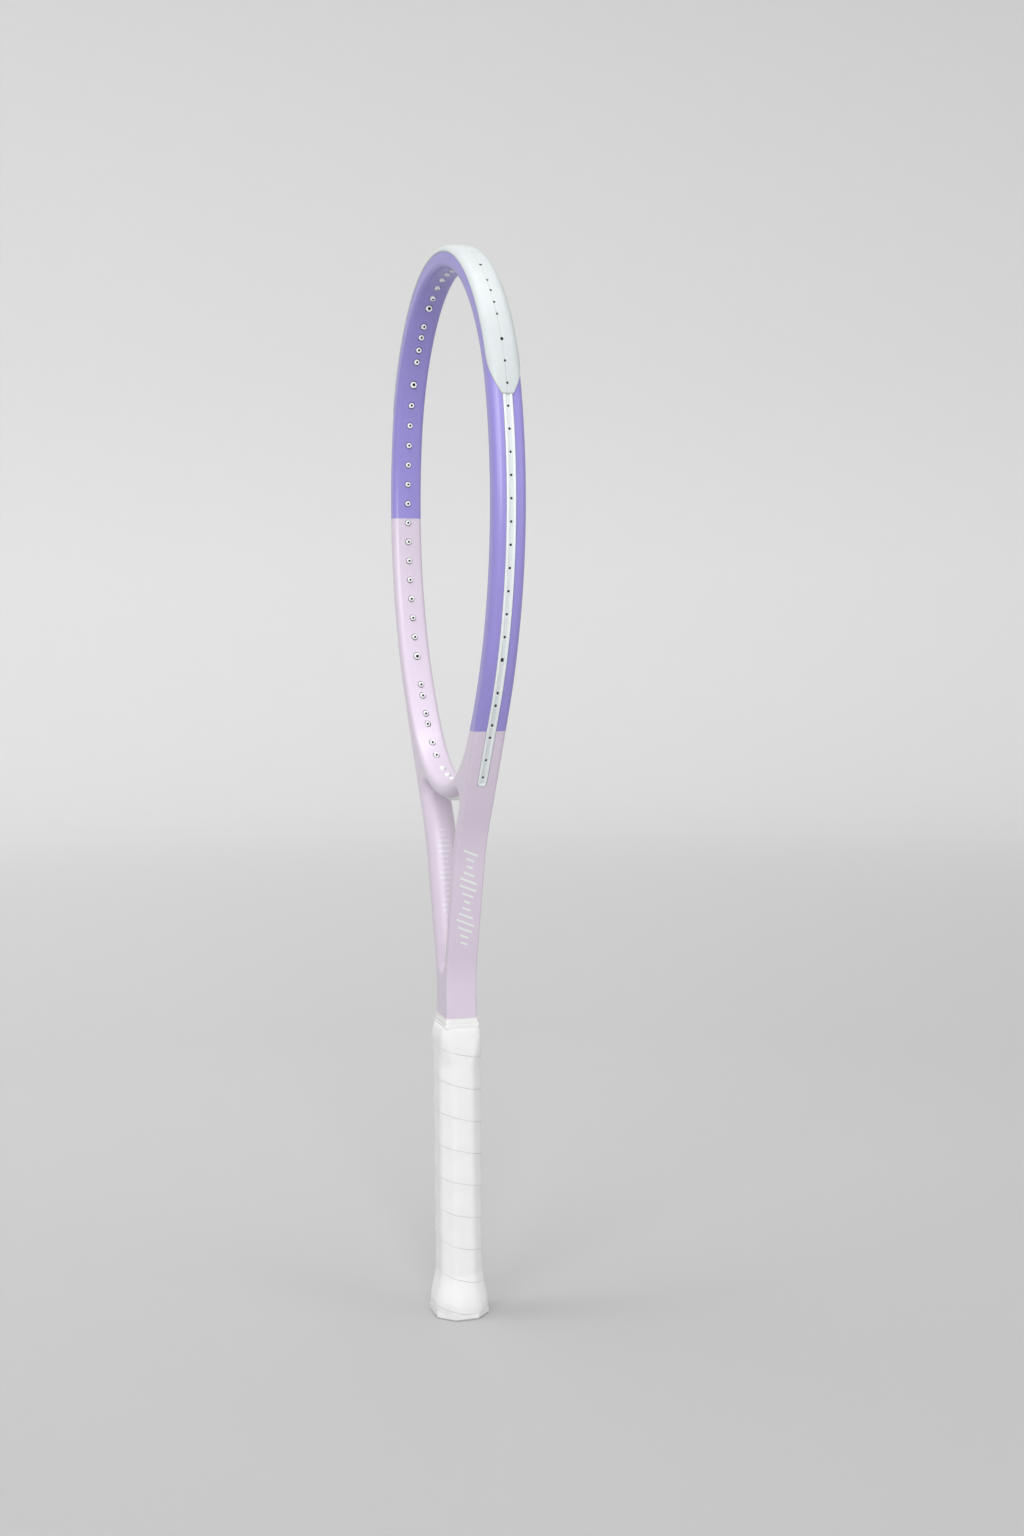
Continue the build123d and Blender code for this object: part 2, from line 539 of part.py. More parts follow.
# Wrapped grip, from the cap's lip over the flare to the stem
with BuildPart() as grip_wrap:
    prism(FLARE, GRIP_FOOT_Z, FLARE_LOW_Z)
    taper(FLARE, FLARE_LOW_Z, GRIP, FLARE_TOP_Z)
    prism(GRIP, FLARE_TOP_Z, GRIP_SHOULDER_Z)
    taper(GRIP, GRIP_SHOULDER_Z, GRIP_TOP, GRIP_TOP_Z)
    prism(FLARE_BORE, GRIP_FOOT_Z, FLARE_LOW_Z, Mode.SUBTRACT)
    taper(FLARE_BORE, FLARE_LOW_Z, NECK_BORE, FLARE_TOP_Z, Mode.SUBTRACT)
    prism(GRIP_BORE, FLARE_TOP_Z, STEM_FOOT_Z, Mode.SUBTRACT)
    prism(GRIP_TOP_BORE, STEM_FOOT_Z, GRIP_TOP_Z, Mode.SUBTRACT)
    tack(Mode.SUBTRACT)
save(grip_wrap, "grip_wrap")

# Finishing tape round the grip's top edge and the stem
with BuildPart() as finishing_tape:
    room, skin = 2 * TAPE_ROOM, 2 * (TAPE_ROOM + TAPE_SKIN)
    round_bar(STEM_WIDTH + skin, BEAM + skin, OUTER_ROUND + skin / 2, GRIP_TOP_Z, TAPE_TOP_Z)
    round_bar(STEM_WIDTH + room, BEAM + room, OUTER_ROUND, GRIP_TOP_Z, TAPE_TOP_Z, Mode.SUBTRACT)
save(finishing_tape, "finishing_tape")
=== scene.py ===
"""Looks of an unstrung tennis racket frame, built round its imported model.

Meshes are worked out in millimetres, in the model's own frame, and scaled to metres when a
piece is finished. Z runs up the racket, X lies across the head and Y is normal to the strings.
"""
import logging
from collections.abc import Callable, Iterable, Sequence
from dataclasses import dataclass
from enum import Enum
from math import atan2, ceil, cos, degrees, pi, radians, sin, sqrt, tan

import bmesh
import bpy
from mathutils import Matrix, Vector, noise

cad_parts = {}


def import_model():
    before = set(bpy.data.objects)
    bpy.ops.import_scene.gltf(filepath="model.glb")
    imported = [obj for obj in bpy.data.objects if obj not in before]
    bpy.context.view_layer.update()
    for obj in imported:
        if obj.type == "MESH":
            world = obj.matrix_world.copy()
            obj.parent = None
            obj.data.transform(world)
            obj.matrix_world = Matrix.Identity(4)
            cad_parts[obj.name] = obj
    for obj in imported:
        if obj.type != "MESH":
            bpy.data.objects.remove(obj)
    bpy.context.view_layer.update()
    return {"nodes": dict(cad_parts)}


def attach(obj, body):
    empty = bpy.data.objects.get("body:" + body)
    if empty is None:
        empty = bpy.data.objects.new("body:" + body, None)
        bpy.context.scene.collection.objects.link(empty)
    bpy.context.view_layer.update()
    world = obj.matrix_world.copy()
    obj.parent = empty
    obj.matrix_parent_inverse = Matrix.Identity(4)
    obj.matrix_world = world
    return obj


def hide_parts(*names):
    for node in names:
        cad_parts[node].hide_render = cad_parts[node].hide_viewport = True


LOG = logging.getLogger("racket")
MM = 0.001
WELD = 0.0005
STEP = 2.0
BODY = "racket"
SHARP_DEGREES = 32.0
Colour = tuple[float, float, float]
Point = tuple[float, float]
Mesh = bmesh.types.BMesh
Vert = bmesh.types.BMVert
Edge = bmesh.types.BMEdge


# --- shader graph

class Socket:
    """A node's output that takes Python arithmetic, adding Math nodes as it goes."""

    def __init__(self, graph: "Graph", output: bpy.types.NodeSocket) -> None:
        """Keep the output together with the graph that it belongs to."""
        self.graph = graph
        self.output = output

    def __add__(self, other: "Socket | float") -> "Socket":
        """Sum."""
        return self.graph.math("ADD", self, other)

    __radd__ = __add__

    def __sub__(self, other: "Socket | float") -> "Socket":
        """Difference."""
        return self.graph.math("SUBTRACT", self, other)

    def __rsub__(self, other: "Socket | float") -> "Socket":
        """Difference, from the other side."""
        return self.graph.math("SUBTRACT", other, self)

    def __mul__(self, other: "Socket | float") -> "Socket":
        """Product."""
        return self.graph.math("MULTIPLY", self, other)

    __rmul__ = __mul__

    def __gt__(self, other: "Socket | float") -> "Socket":
        """1 where this is the greater, else 0."""
        return self.graph.math("GREATER_THAN", self, other)

    def __lt__(self, other: "Socket | float") -> "Socket":
        """1 where this is the smaller, else 0."""
        return self.graph.math("LESS_THAN", self, other)

    def magnitude(self) -> "Socket":
        """Absolute value."""
        return self.graph.math("ABSOLUTE", self)

    def remainder(self) -> "Socket":
        """Part after the decimal point."""
        return self.graph.math("FRACT", self)

    def whole(self) -> "Socket":
        """Whole number below."""
        return self.graph.math("FLOOR", self)

    def sine(self) -> "Socket":
        """Sine."""
        return self.graph.math("SINE", self)

    def ramp(self, low: float, high: float) -> "Socket":
        """0 up to low and 1 from high, straight between them."""
        scale = 1 / (high - low)
        return self.graph.math("MULTIPLY_ADD", self, scale, -low * scale, clamp=True)

    def about(self, middle: float, swing: float) -> "Socket":
        """Turn noise into a value that swings about the middle one."""
        return self.ramp(0.2, 0.8) * swing + (middle - swing / 2)


class Graph:
    """The node tree of one material."""

    def __init__(self, name: str) -> None:
        """Start the empty tree of a new material with this name."""
        self.material = bpy.data.materials.new(name)
        self.material.use_nodes = True
        self.tree = self.material.node_tree
        self.tree.nodes.clear()

    def node(self, kind: str, settings: dict | None = None, inputs: dict | None = None,
             output: int = 0) -> Socket:
        """Add any node.

        Args:
            kind: The node's type.
            settings: Its properties, set first.
            inputs: Values or links of its sockets, by name or by number.
            output: Which output to hand back.

        Returns:
            The chosen output.
        """
        made = self.tree.nodes.new(kind)
        for key, value in (settings or {}).items():
            setattr(made, key, value)
        for key, value in (inputs or {}).items():
            if isinstance(value, Socket):
                self.tree.links.new(value.output, made.inputs[key])
            else:
                made.inputs[key].default_value = value
        return Socket(self, made.outputs[output]) if made.outputs else None

    def math(self, operation: str, *values: "Socket | float", clamp: bool = False) -> Socket:
        """Add a Math node for the given values."""
        return self.node("ShaderNodeMath", {"operation": operation, "use_clamp": clamp},
                         dict(enumerate(values)))

    def place(self) -> Socket:
        """Object coordinates, in metres."""
        return self.node("ShaderNodeTexCoord", output=3)

    def axes(self, vector: Socket) -> tuple[Socket, Socket, Socket]:
        """The three parts of a vector."""
        first = self.node("ShaderNodeSeparateXYZ", inputs={0: vector})
        return tuple(Socket(self, out) for out in first.output.node.outputs)

    def normal(self) -> Socket:
        """The surface's own normal."""
        return self.node("ShaderNodeNewGeometry", output=1)

    def attribute(self, name: str) -> Socket:
        """A number that the mesh holds at its points."""
        return self.node("ShaderNodeAttribute", {"attribute_name": name}, output=2)

    def noise(self, size: float, detail: float = 2.0,
              stretch: tuple[float, float, float] = (1, 1, 1)) -> Socket:
        """Cloudy noise, 0 to 1.

        Args:
            size: Width of one cloud in millimetres.
            detail: Octaves.
            stretch: Factors on the coordinates, to draw the clouds out.
        """
        vector = self.place()
        if stretch != (1, 1, 1):
            vector = self.node("ShaderNodeMapping", inputs={"Vector": vector, "Scale": stretch})
        return self.node("ShaderNodeTexNoise", {"noise_dimensions": "3D"},
                         {"Vector": vector, "Scale": 1 / (size * MM), "Detail": detail})

    def cells(self, size: float) -> Socket:
        """Distance to the nearest point of a scatter, for grain; size is in millimetres."""
        return self.node("ShaderNodeTexVoronoi", {"feature": "F1"},
                         {"Vector": self.place(), "Scale": 1 / (size * MM)})

    def mix(self, share: "Socket | float", first: "Socket | Colour",
            second: "Socket | Colour") -> Socket:
        """Blend two colours: the first where share is 0 and the second where it is 1."""
        pair = [value if isinstance(value, Socket) else (*value, 1.0) for value in (first, second)]
        return self.node("ShaderNodeMix", {"data_type": "RGBA"},
                         {0: share, 6: pair[0], 7: pair[1]}, output=2)

    def shaded(self, share: Socket, colour: Colour, dark: float) -> Socket:
        """A colour that is multiplied by dark where share is 1."""
        return self.mix(share, colour, tuple(part * dark for part in colour))

    def finish(self, colour: Socket, rough: "Socket | float", relief: Socket | None = None,
               depth: float = 0.0, **others: float) -> bpy.types.Material:
        """Close the tree with one Principled shader.

        Args:
            colour: Base colour.
            rough: Roughness.
            relief: Height that bumps the surface.
            depth: How deep the relief is, in millimetres.
            others: More sockets by name, with _ for each space.

        Returns:
            The material.
        """
        sockets = {"Base Color": colour, "Roughness": rough}
        if relief:
            sockets["Normal"] = self.node("ShaderNodeBump", inputs={
                "Height": relief, "Distance": depth * MM, "Strength": 1.0})
        sockets |= {name.replace("_", " "): value for name, value in others.items()}
        shader = self.node("ShaderNodeBsdfPrincipled", inputs=sockets)
        self.node("ShaderNodeOutputMaterial", inputs={"Surface": shader})
        return self.material


# --- finishes

@dataclass(frozen=True)
class Bars:
    """A column of printed bars along a shaft, longer and shorter by turns.

    Attributes:
        low: Height of the lowest bar.
        high: Height of the topmost bar.
        pitch: Spacing of the bars.
        slant: Rise of a bar over one millimetre across.
        reach: Half length of the longest bar.
    """
    low: float
    high: float
    pitch: float
    slant: float
    reach: float

    def mask(self, across: Socket, up: Socket) -> Socket:
        """1 on the bars and 0 off them, from millimetres across the shaft and up it."""
        run = (up + across * self.slant) * (1 / self.pitch)
        bar = ((run.remainder() - 0.5).magnitude() * self.pitch).ramp(0.78, 0.62)
        length = (run.whole() * 1.15).sine() * (0.32 * self.reach) + 0.66 * self.reach
        end = (across.magnitude() - length).ramp(0.12, -0.12)
        foot = run.whole() * self.pitch
        return bar * end * (foot > self.low) * (foot < self.high)


@dataclass(frozen=True)
class Lacquer:
    """Satin two-colour lacquer of the carbon frame, with its printed bars.

    Attributes:
        right_line: Height at which the right side turns from lilac to violet.
        left_line: The same on the left side.
        faint: Strength of the print on the shafts' inner faces.
    """
    violet: Colour = (0.285, 0.245, 0.610)
    lilac: Colour = (0.640, 0.555, 0.665)
    print_white: Colour = (0.72, 0.76, 0.745)
    right_line: float = 384.5
    left_line: float = 523.0
    right_bars: Bars = Bars(241.0, 306.0, 4.6, 0.42, 6.0)
    left_bars: Bars = Bars(232.0, 312.0, 6.2, -0.3, 6.6)
    inner_bars: Bars = Bars(254.0, 316.0, 3.4, 0.0, 4.6)
    faint: float = 0.45
    roughness: float = 0.36

    def make(self, name: str) -> bpy.types.Material:
        """Build the material."""
        graph = Graph(name)
        x, y, z = (part * 1000.0 for part in graph.axes(graph.place()))
        facing, _, _ = graph.axes(graph.normal())
        right, left = x > 0, x < 0
        line = self.left_line - right * (self.left_line - self.right_line)
        upper = (z - line).ramp(-0.08, 0.08)
        printed = (self.right_bars.mask(y, z) * right * (facing > 0.8)
                   + self.left_bars.mask(y, z) * left * (facing < -0.8)
                   + self.inner_bars.mask(y + 1.0, z) * left * (facing > 0.3) * self.faint
                   + self.inner_bars.mask(y - 1.0, z) * right * (facing < -0.3) * self.faint)
        shade = graph.noise(26.0).ramp(0.3, 0.7)
        paint = graph.mix(upper, graph.shaded(shade, self.lilac, 0.985),
                          graph.shaded(shade, self.violet, 0.97))
        colour = graph.mix(printed, paint, self.print_white)
        worn = graph.noise(9.0, 3.0).ramp(0.25, 0.75) * 0.05
        rough = worn + (self.roughness - 0.02) + printed * 0.06
        skin = graph.noise(1.7) * 0.6 + printed * 0.5 + upper * 0.4
        return graph.finish(colour, rough, skin, 0.012, Coat_Weight=0.32, Coat_Roughness=0.2)


@dataclass(frozen=True)
class Moulding:
    """Injection-moulded plastic with a fine spark-eroded skin."""
    colour: Colour = (0.545, 0.583, 0.588)
    shadow: Colour = (0.525, 0.562, 0.568)
    roughness: float = 0.42
    # Painted light: the barrels are made lighter than the skin, though they are the same nylon.
    painted_lip_light: Colour = (0.88, 0.90, 0.895)
    # Painted shade: near black deep in the string holes.
    bore: Colour = (0.03, 0.031, 0.033)
    grain: float = 0.32
    relief: float = 0.006

    def make(self, name: str) -> bpy.types.Material:
        """Build the material; the mesh says where the barrels are painted lighter (painted light)
        and where the bores, channels and crease are painted dark (painted shade).
        """
        graph = Graph(name)
        skin = graph.mix(graph.noise(14.0, 3.0).ramp(0.35, 0.75), self.colour, self.shadow)
        # Painted light on the barrels, then painted shade in the bores, channels and crease.
        skin_and_lit_barrels = graph.mix(graph.attribute("painted_lip_light"), skin, self.painted_lip_light)
        # Painted shade: near black in the bores, and a little darker along the channels and crease.
        colour = graph.mix(graph.attribute("bore").ramp(0.08, 0.95), skin_and_lit_barrels, self.bore)
        rough = graph.noise(2.5).about(self.roughness, 0.08)
        return graph.finish(colour, rough, graph.noise(self.grain), self.relief,
                            Specular_IOR_Level=0.45)


@dataclass(frozen=True)
class GripLeather:
    """White polyurethane leather: pored skin, darker in the seams of the winding."""
    colour: Colour = (0.80, 0.80, 0.798)
    seam: Colour = (0.60, 0.60, 0.595)
    roughness: float = 0.5

    def make(self, name: str) -> bpy.types.Material:
        """Build the material; the mesh says where its seams are."""
        graph = Graph(name)
        cloud, pores = graph.noise(11.0, 3.0), graph.cells(0.62)
        base = graph.shaded(cloud.ramp(0.3, 0.75), self.colour, 0.97)
        pored = graph.mix(pores.ramp(0.12, 0.0) * 0.12, base, self.seam)
        colour = graph.mix(graph.attribute("seam").ramp(0.0, 1.0), pored, self.seam)
        height = pores.ramp(0.0, 0.5) * 0.6 + graph.noise(0.9, 3.0, (1, 1, 2.2)) * 0.6
        return graph.finish(colour, cloud.about(self.roughness, 0.1), height, 0.035,
                            Sheen_Weight=0.08, Sheen_Roughness=0.4)


@dataclass(frozen=True)
class Film:
    """Stretched vinyl tape: smooth and a little glossy, with fine stretch lines."""
    colour: Colour = (0.775, 0.775, 0.77)
    roughness: float = 0.34

    def make(self, name: str) -> bpy.types.Material:
        """Build the material."""
        graph = Graph(name)
        lines = graph.noise(3.0, 3.0, (0.25, 0.25, 3.0))
        return graph.finish(graph.shaded(lines.ramp(0.3, 0.75), self.colour, 0.96),
                            lines.about(self.roughness, 0.1), lines, 0.05)


@dataclass(frozen=True)
class Foam:
    """Rigid moulded foam or fibrous tape, with open cells on its skin."""
    colour: Colour = (0.80, 0.70, 0.44)
    dark: Colour = (0.66, 0.55, 0.32)
    cell: float = 0.9

    def make(self, name: str) -> bpy.types.Material:
        """Build the material."""
        graph = Graph(name)
        cells = graph.cells(self.cell)
        return graph.finish(graph.mix(cells.ramp(0.45, 0.1), self.colour, self.dark),
                            cells.ramp(0.0, 0.6) * 0.12 + 0.78, cells, 0.08)


@dataclass(frozen=True)
class Metal:
    """Plain metal with drawn lines or a cast skin."""
    colour: Colour = (0.62, 0.62, 0.63)
    roughness: float = 0.34
    line: float = 0.5
    stretch: tuple[float, float, float] = (0.1, 1.0, 1.0)

    def make(self, name: str) -> bpy.types.Material:
        """Build the material."""
        graph = Graph(name)
        lines = graph.noise(self.line, 3.0, self.stretch)
        return graph.finish(graph.shaded(lines.ramp(0.3, 0.8), self.colour, 0.8),
                            lines.about(self.roughness, 0.16), lines, 0.01, Metallic=1.0)


# --- mesh tools

def mend(bm: Mesh, weld: float = WELD) -> None:
    """Merge doubles and turn the faces outwards."""
    bmesh.ops.remove_doubles(bm, verts=bm.verts[:], dist=weld)
    bmesh.ops.recalc_face_normals(bm, faces=bm.faces[:])


def linked(bm: Mesh, name: str) -> bpy.types.Object:
    """Put a mesh into the scene as an object of its own; the bmesh is freed."""
    mesh = bpy.data.meshes.new(name)
    bm.to_mesh(mesh)
    bm.free()
    made = bpy.data.objects.new(name, mesh)
    bpy.context.collection.objects.link(made)
    return made


def spun(bm: Mesh, profile: list, steps: int, fall: float = 0.0) -> None:
    """Spin a profile once round the Z axis, falling a little with each step if asked to."""
    bmesh.ops.spin(bm, geom=profile, cent=(0, 0, 0), axis=(0, 0, 1), dvec=(0, 0, -fall),
                   angle=2 * pi, steps=steps, use_merge=not fall)


def chain(bm: Mesh, points: Iterable[Point], closed: bool = False) -> list:
    """Lay (reach, height) points in the plane Y = 0, joined by edges."""
    verts = [bm.verts.new((reach, 0, height)) for reach, height in points]
    ends = verts[1:] + verts[:1] if closed else verts[1:]
    return verts + [bm.edges.new(pair) for pair in zip(verts, ends)]


def drawn(bm: Mesh, edges: Iterable[Edge]) -> tuple[list[Vert], list[Edge]]:
    """Extrude edges, and give the new vertices and the new edges between them."""
    made = bmesh.ops.extrude_edge_only(bm, edges=list(edges))["geom"]
    fresh = [item for item in made if isinstance(item, Vert)]
    known = set(fresh)
    return fresh, [item for item in made
                   if isinstance(item, Edge) and all(v in known for v in item.verts)]


def polygon(bm: Mesh, loop: Iterable[Vert]) -> None:
    """Fill a flat outline, given in order, with triangles."""
    face = bm.faces.new(list(dict.fromkeys(loop)))
    face.normal_update()
    bmesh.ops.triangulate(bm, faces=[face], quad_method="BEAUTY", ngon_method="BEAUTY")


def mirrored(bm: Mesh) -> None:
    """Add the left half of a mesh that ends on the plane X = 0."""
    bmesh.ops.mirror(bm, geom=[*bm.verts, *bm.edges, *bm.faces], axis="X", merge_dist=0.002)


class Rows:
    """A surface pulled from row to row, each row extruded from the one before."""

    def __init__(self, bm: Mesh, rings: Iterable[Sequence[Sequence[float]]], closed: bool) -> None:
        """Pull the surface.

        Args:
            bm: The mesh that the surface is built in.
            rings: Places of each row's points.
            closed: Whether a row runs round to its own start.
        """
        self.bm, self.rows = bm, []
        for points in rings:
            row = self._next() if self.rows else self._first(len(points), closed)
            for vert, place in zip(row, points):
                vert.co = place
            self.rows.append(row)

    def _first(self, count: int, closed: bool) -> list[Vert]:
        """Lay the first row, open or closed."""
        ring = bmesh.ops.create_circle(self.bm, segments=count, radius=1)["verts"]
        self.edges = {edge for vert in ring for edge in vert.link_edges}
        if not closed:
            gap = next(e for e in ring[0].link_edges if e.other_vert(ring[0]) is ring[-1])
            self.edges.discard(gap)
            self.bm.edges.remove(gap)
        return ring

    def _next(self) -> list[Vert]:
        """Extrude the last row."""
        made, self.edges = drawn(self.bm, self.edges)
        fresh = set(made)
        return [next(e.other_vert(v) for e in v.link_edges if e.other_vert(v) in fresh)
                for v in self.rows[-1]]

    def cap(self, row: int) -> None:
        """Close one closed row with a flat face."""
        polygon(self.bm, self.rows[row])

    def join_ends(self) -> None:
        """Bridge the last row back to the first, into a closed ring of rows."""
        ends = [[e for e in {e for v in row for e in v.link_edges}
                 if all(v in set(row) for v in e.verts)] for row in (self.rows[0], self.rows[-1])]
        bmesh.ops.bridge_loops(self.bm, edges=ends[0] + ends[1])


def piece(bm: Mesh, name: str, material: bpy.types.Material, node: str,
          sharp: float = SHARP_DEGREES) -> None:
    """Finish a mesh as one piece of the racket.

    Args:
        bm: The mesh, in millimetres; it is freed.
        name: The piece's name.
        material: Its finish.
        node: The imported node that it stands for.
        sharp: Angle above which an edge is drawn sharp.
    """
    mend(bm)
    bmesh.ops.scale(bm, vec=(MM, MM, MM), verts=bm.verts[:])
    made = linked(bm, name)
    made.data.materials.append(material)
    made.data.shade_smooth()
    made.data.set_sharp_from_angle(angle=radians(sharp))
    made.modifiers.new("flat_faces_first", "WEIGHTED_NORMAL").keep_sharp = True
    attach(made, BODY)
    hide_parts(node)
    LOG.info("%s: %d faces", name, len(made.data.polygons))


# --- outline

@dataclass(frozen=True)
class Station:
    """A stop on an outline in the string plane.

    Attributes:
        x: Place across.
        z: Height.
        turn: How far the outline has turned, in degrees.
        inward: 1 where the tube lies left of the direction of travel, -1 where it lies right.
    """
    x: float
    z: float
    turn: float
    inward: int

    def at(self, depth: float, y: float) -> tuple[float, float, float]:
        """The point this deep in the tube, measured square to the outline."""
        lean = radians(self.turn)
        depth *= self.inward
        return self.x + depth * sin(lean), y, self.z + depth * cos(lean)


class Walk:
    """Collects the stations of an outline made of straight runs and arcs."""

    def __init__(self, x: float, z: float, turn: float, inward: int) -> None:
        """Start at a point, heading as the turn says: 0 is along +X and 90 straight down."""
        self.x, self.z, self.turn, self.inward = x, z, turn, inward
        self.stations = [Station(x, z, turn, inward)]

    def _mark(self) -> None:
        """Note the present place as a station."""
        self.stations.append(Station(self.x, self.z, self.turn, self.inward))

    def line(self, length: float, step: float = STEP) -> "Walk":
        """Go straight on."""
        count = max(1, ceil(length / step))
        lean = radians(self.turn)
        for _ in range(count):
            self.x += cos(lean) * length / count
            self.z -= sin(lean) * length / count
            self._mark()
        return self

    def arc(self, radius: float, sweep: float, step: float = STEP) -> "Walk":
        """Go round an arc; a positive sweep turns right and a negative one left."""
        side = 1 if sweep > 0 else -1
        count = max(1, ceil(radius * radians(abs(sweep)) / step), ceil(abs(sweep) / 7))
        lean = radians(self.turn)
        centre_x = self.x - side * radius * sin(lean)
        centre_z = self.z - side * radius * cos(lean)
        for _ in range(count):
            self.turn += sweep / count
            lean = radians(self.turn)
            self.x = centre_x + side * radius * sin(lean)
            self.z = centre_z + side * radius * cos(lean)
            self._mark()
        return self


def eased(value: float, low: float, high: float) -> float:
    """0 up to low and 1 from high, with a smooth rise between them."""
    share = min(1.0, max(0.0, (value - low) / (high - low)))
    return share * share * (3 - 2 * share)


def rounded_edge(corner: float, crown: float, half: float, face_steps: int, arc_steps: int,
                 start: float = 0.0) -> list[Point]:
    """Half of a side's section, as (depth, y): a crowned face, then a quarter round.

    Args:
        corner: Radius of the round.
        crown: How far the face falls away from its middle to the tube's half depth.
        half: Half depth of the tube.
        face_steps: Steps over the face.
        arc_steps: Steps round the corner.
        start: Where on the face the section starts.
    """
    lean = 0.0
    for _ in range(4):
        reach = half - corner + corner * sin(lean)
        lean = atan2(2 * crown * reach / half ** 2, 1.0)
    points = [(crown * (y / half) ** 2, y) for y in
              (start + (reach - start) * i / face_steps for i in range(face_steps + 1))]
    centre = crown * (reach / half) ** 2 + corner * cos(lean)
    for i in range(1, arc_steps + 1):
        angle = lean + (pi / 2 - lean) * i / arc_steps
        points.append((centre - corner * cos(angle), half - corner + corner * sin(angle)))
    return points


def both_halves(half: list[Point]) -> list[Point]:
    """A whole section from its half: from the front face round to the back one."""
    back = list(reversed(half))
    return [(d, -y) for d, y in back if y > 0] + half


# --- frame geometry

@dataclass(frozen=True)
class Barrel:
    """A string barrel: its radius, its bore and the mouth pierced for it on the outside."""
    radius: float
    bore: float
    mouth: float

    def add(self, bm: Mesh, place: Matrix, low: float, high: float) -> None:
        """Add the barrel, with a domed lip at its lower end.

        Args:
            bm: The mesh to add it to.
            place: Matrix whose Z axis it is spun round.
            low: Height of the lip.
            high: Height of its root.
        """
        part = bmesh.new()
        bore, painted_lip_light = part.verts.layers.float.new("bore"), part.verts.layers.float.new("painted_lip_light")
        profile = chain(part, (
            (self.bore, high), (self.bore, low + 0.34), (self.bore + 0.1, low + 0.08),
            (self.bore + 0.3, low), (self.radius - 0.4, low + 0.1),
            (self.radius - 0.14, low + 0.34), (self.radius, low + 0.75), (self.radius, high)),
            closed=True)
        # Every barrel point gets painted light; the two bore points also get painted shade.
        for index, vert in enumerate(part.verts):
            vert[painted_lip_light] = 1.0
            vert[bore] = float(index < 2)
        spun(part, profile, 24)
        mend(part)
        bmesh.ops.transform(part, matrix=place, verts=part.verts[:])
        mesh = bpy.data.meshes.new("barrel")
        part.to_mesh(mesh)
        part.free()
        bm.from_mesh(mesh)
        bpy.data.meshes.remove(mesh)


SINGLE = Barrel(1.82, 0.72, 0.75)
DOUBLE = Barrel(2.2, 1.0, 1.0)
BARREL_PROUD = 1.5  # how far each barrel stands out into the head


@dataclass(frozen=True)
class Hole:
    """A string hole of the right side: its middle, drilling angle, half length and barrel."""
    x: float
    z: float
    tilt: float
    half: float
    barrel: Barrel

    def stand(self, side: int) -> Matrix:
        """Matrix whose Z axis points out of the head along the hole, on the chosen side."""
        lean = radians(self.tilt)
        along = Vector((side * cos(lean), 0, sin(lean)))
        across = Vector((0, 1, 0))
        turned = Matrix((across, along.cross(across), along)).transposed().to_4x4()
        return Matrix.Translation((side * self.x, 0, self.z)) @ turned


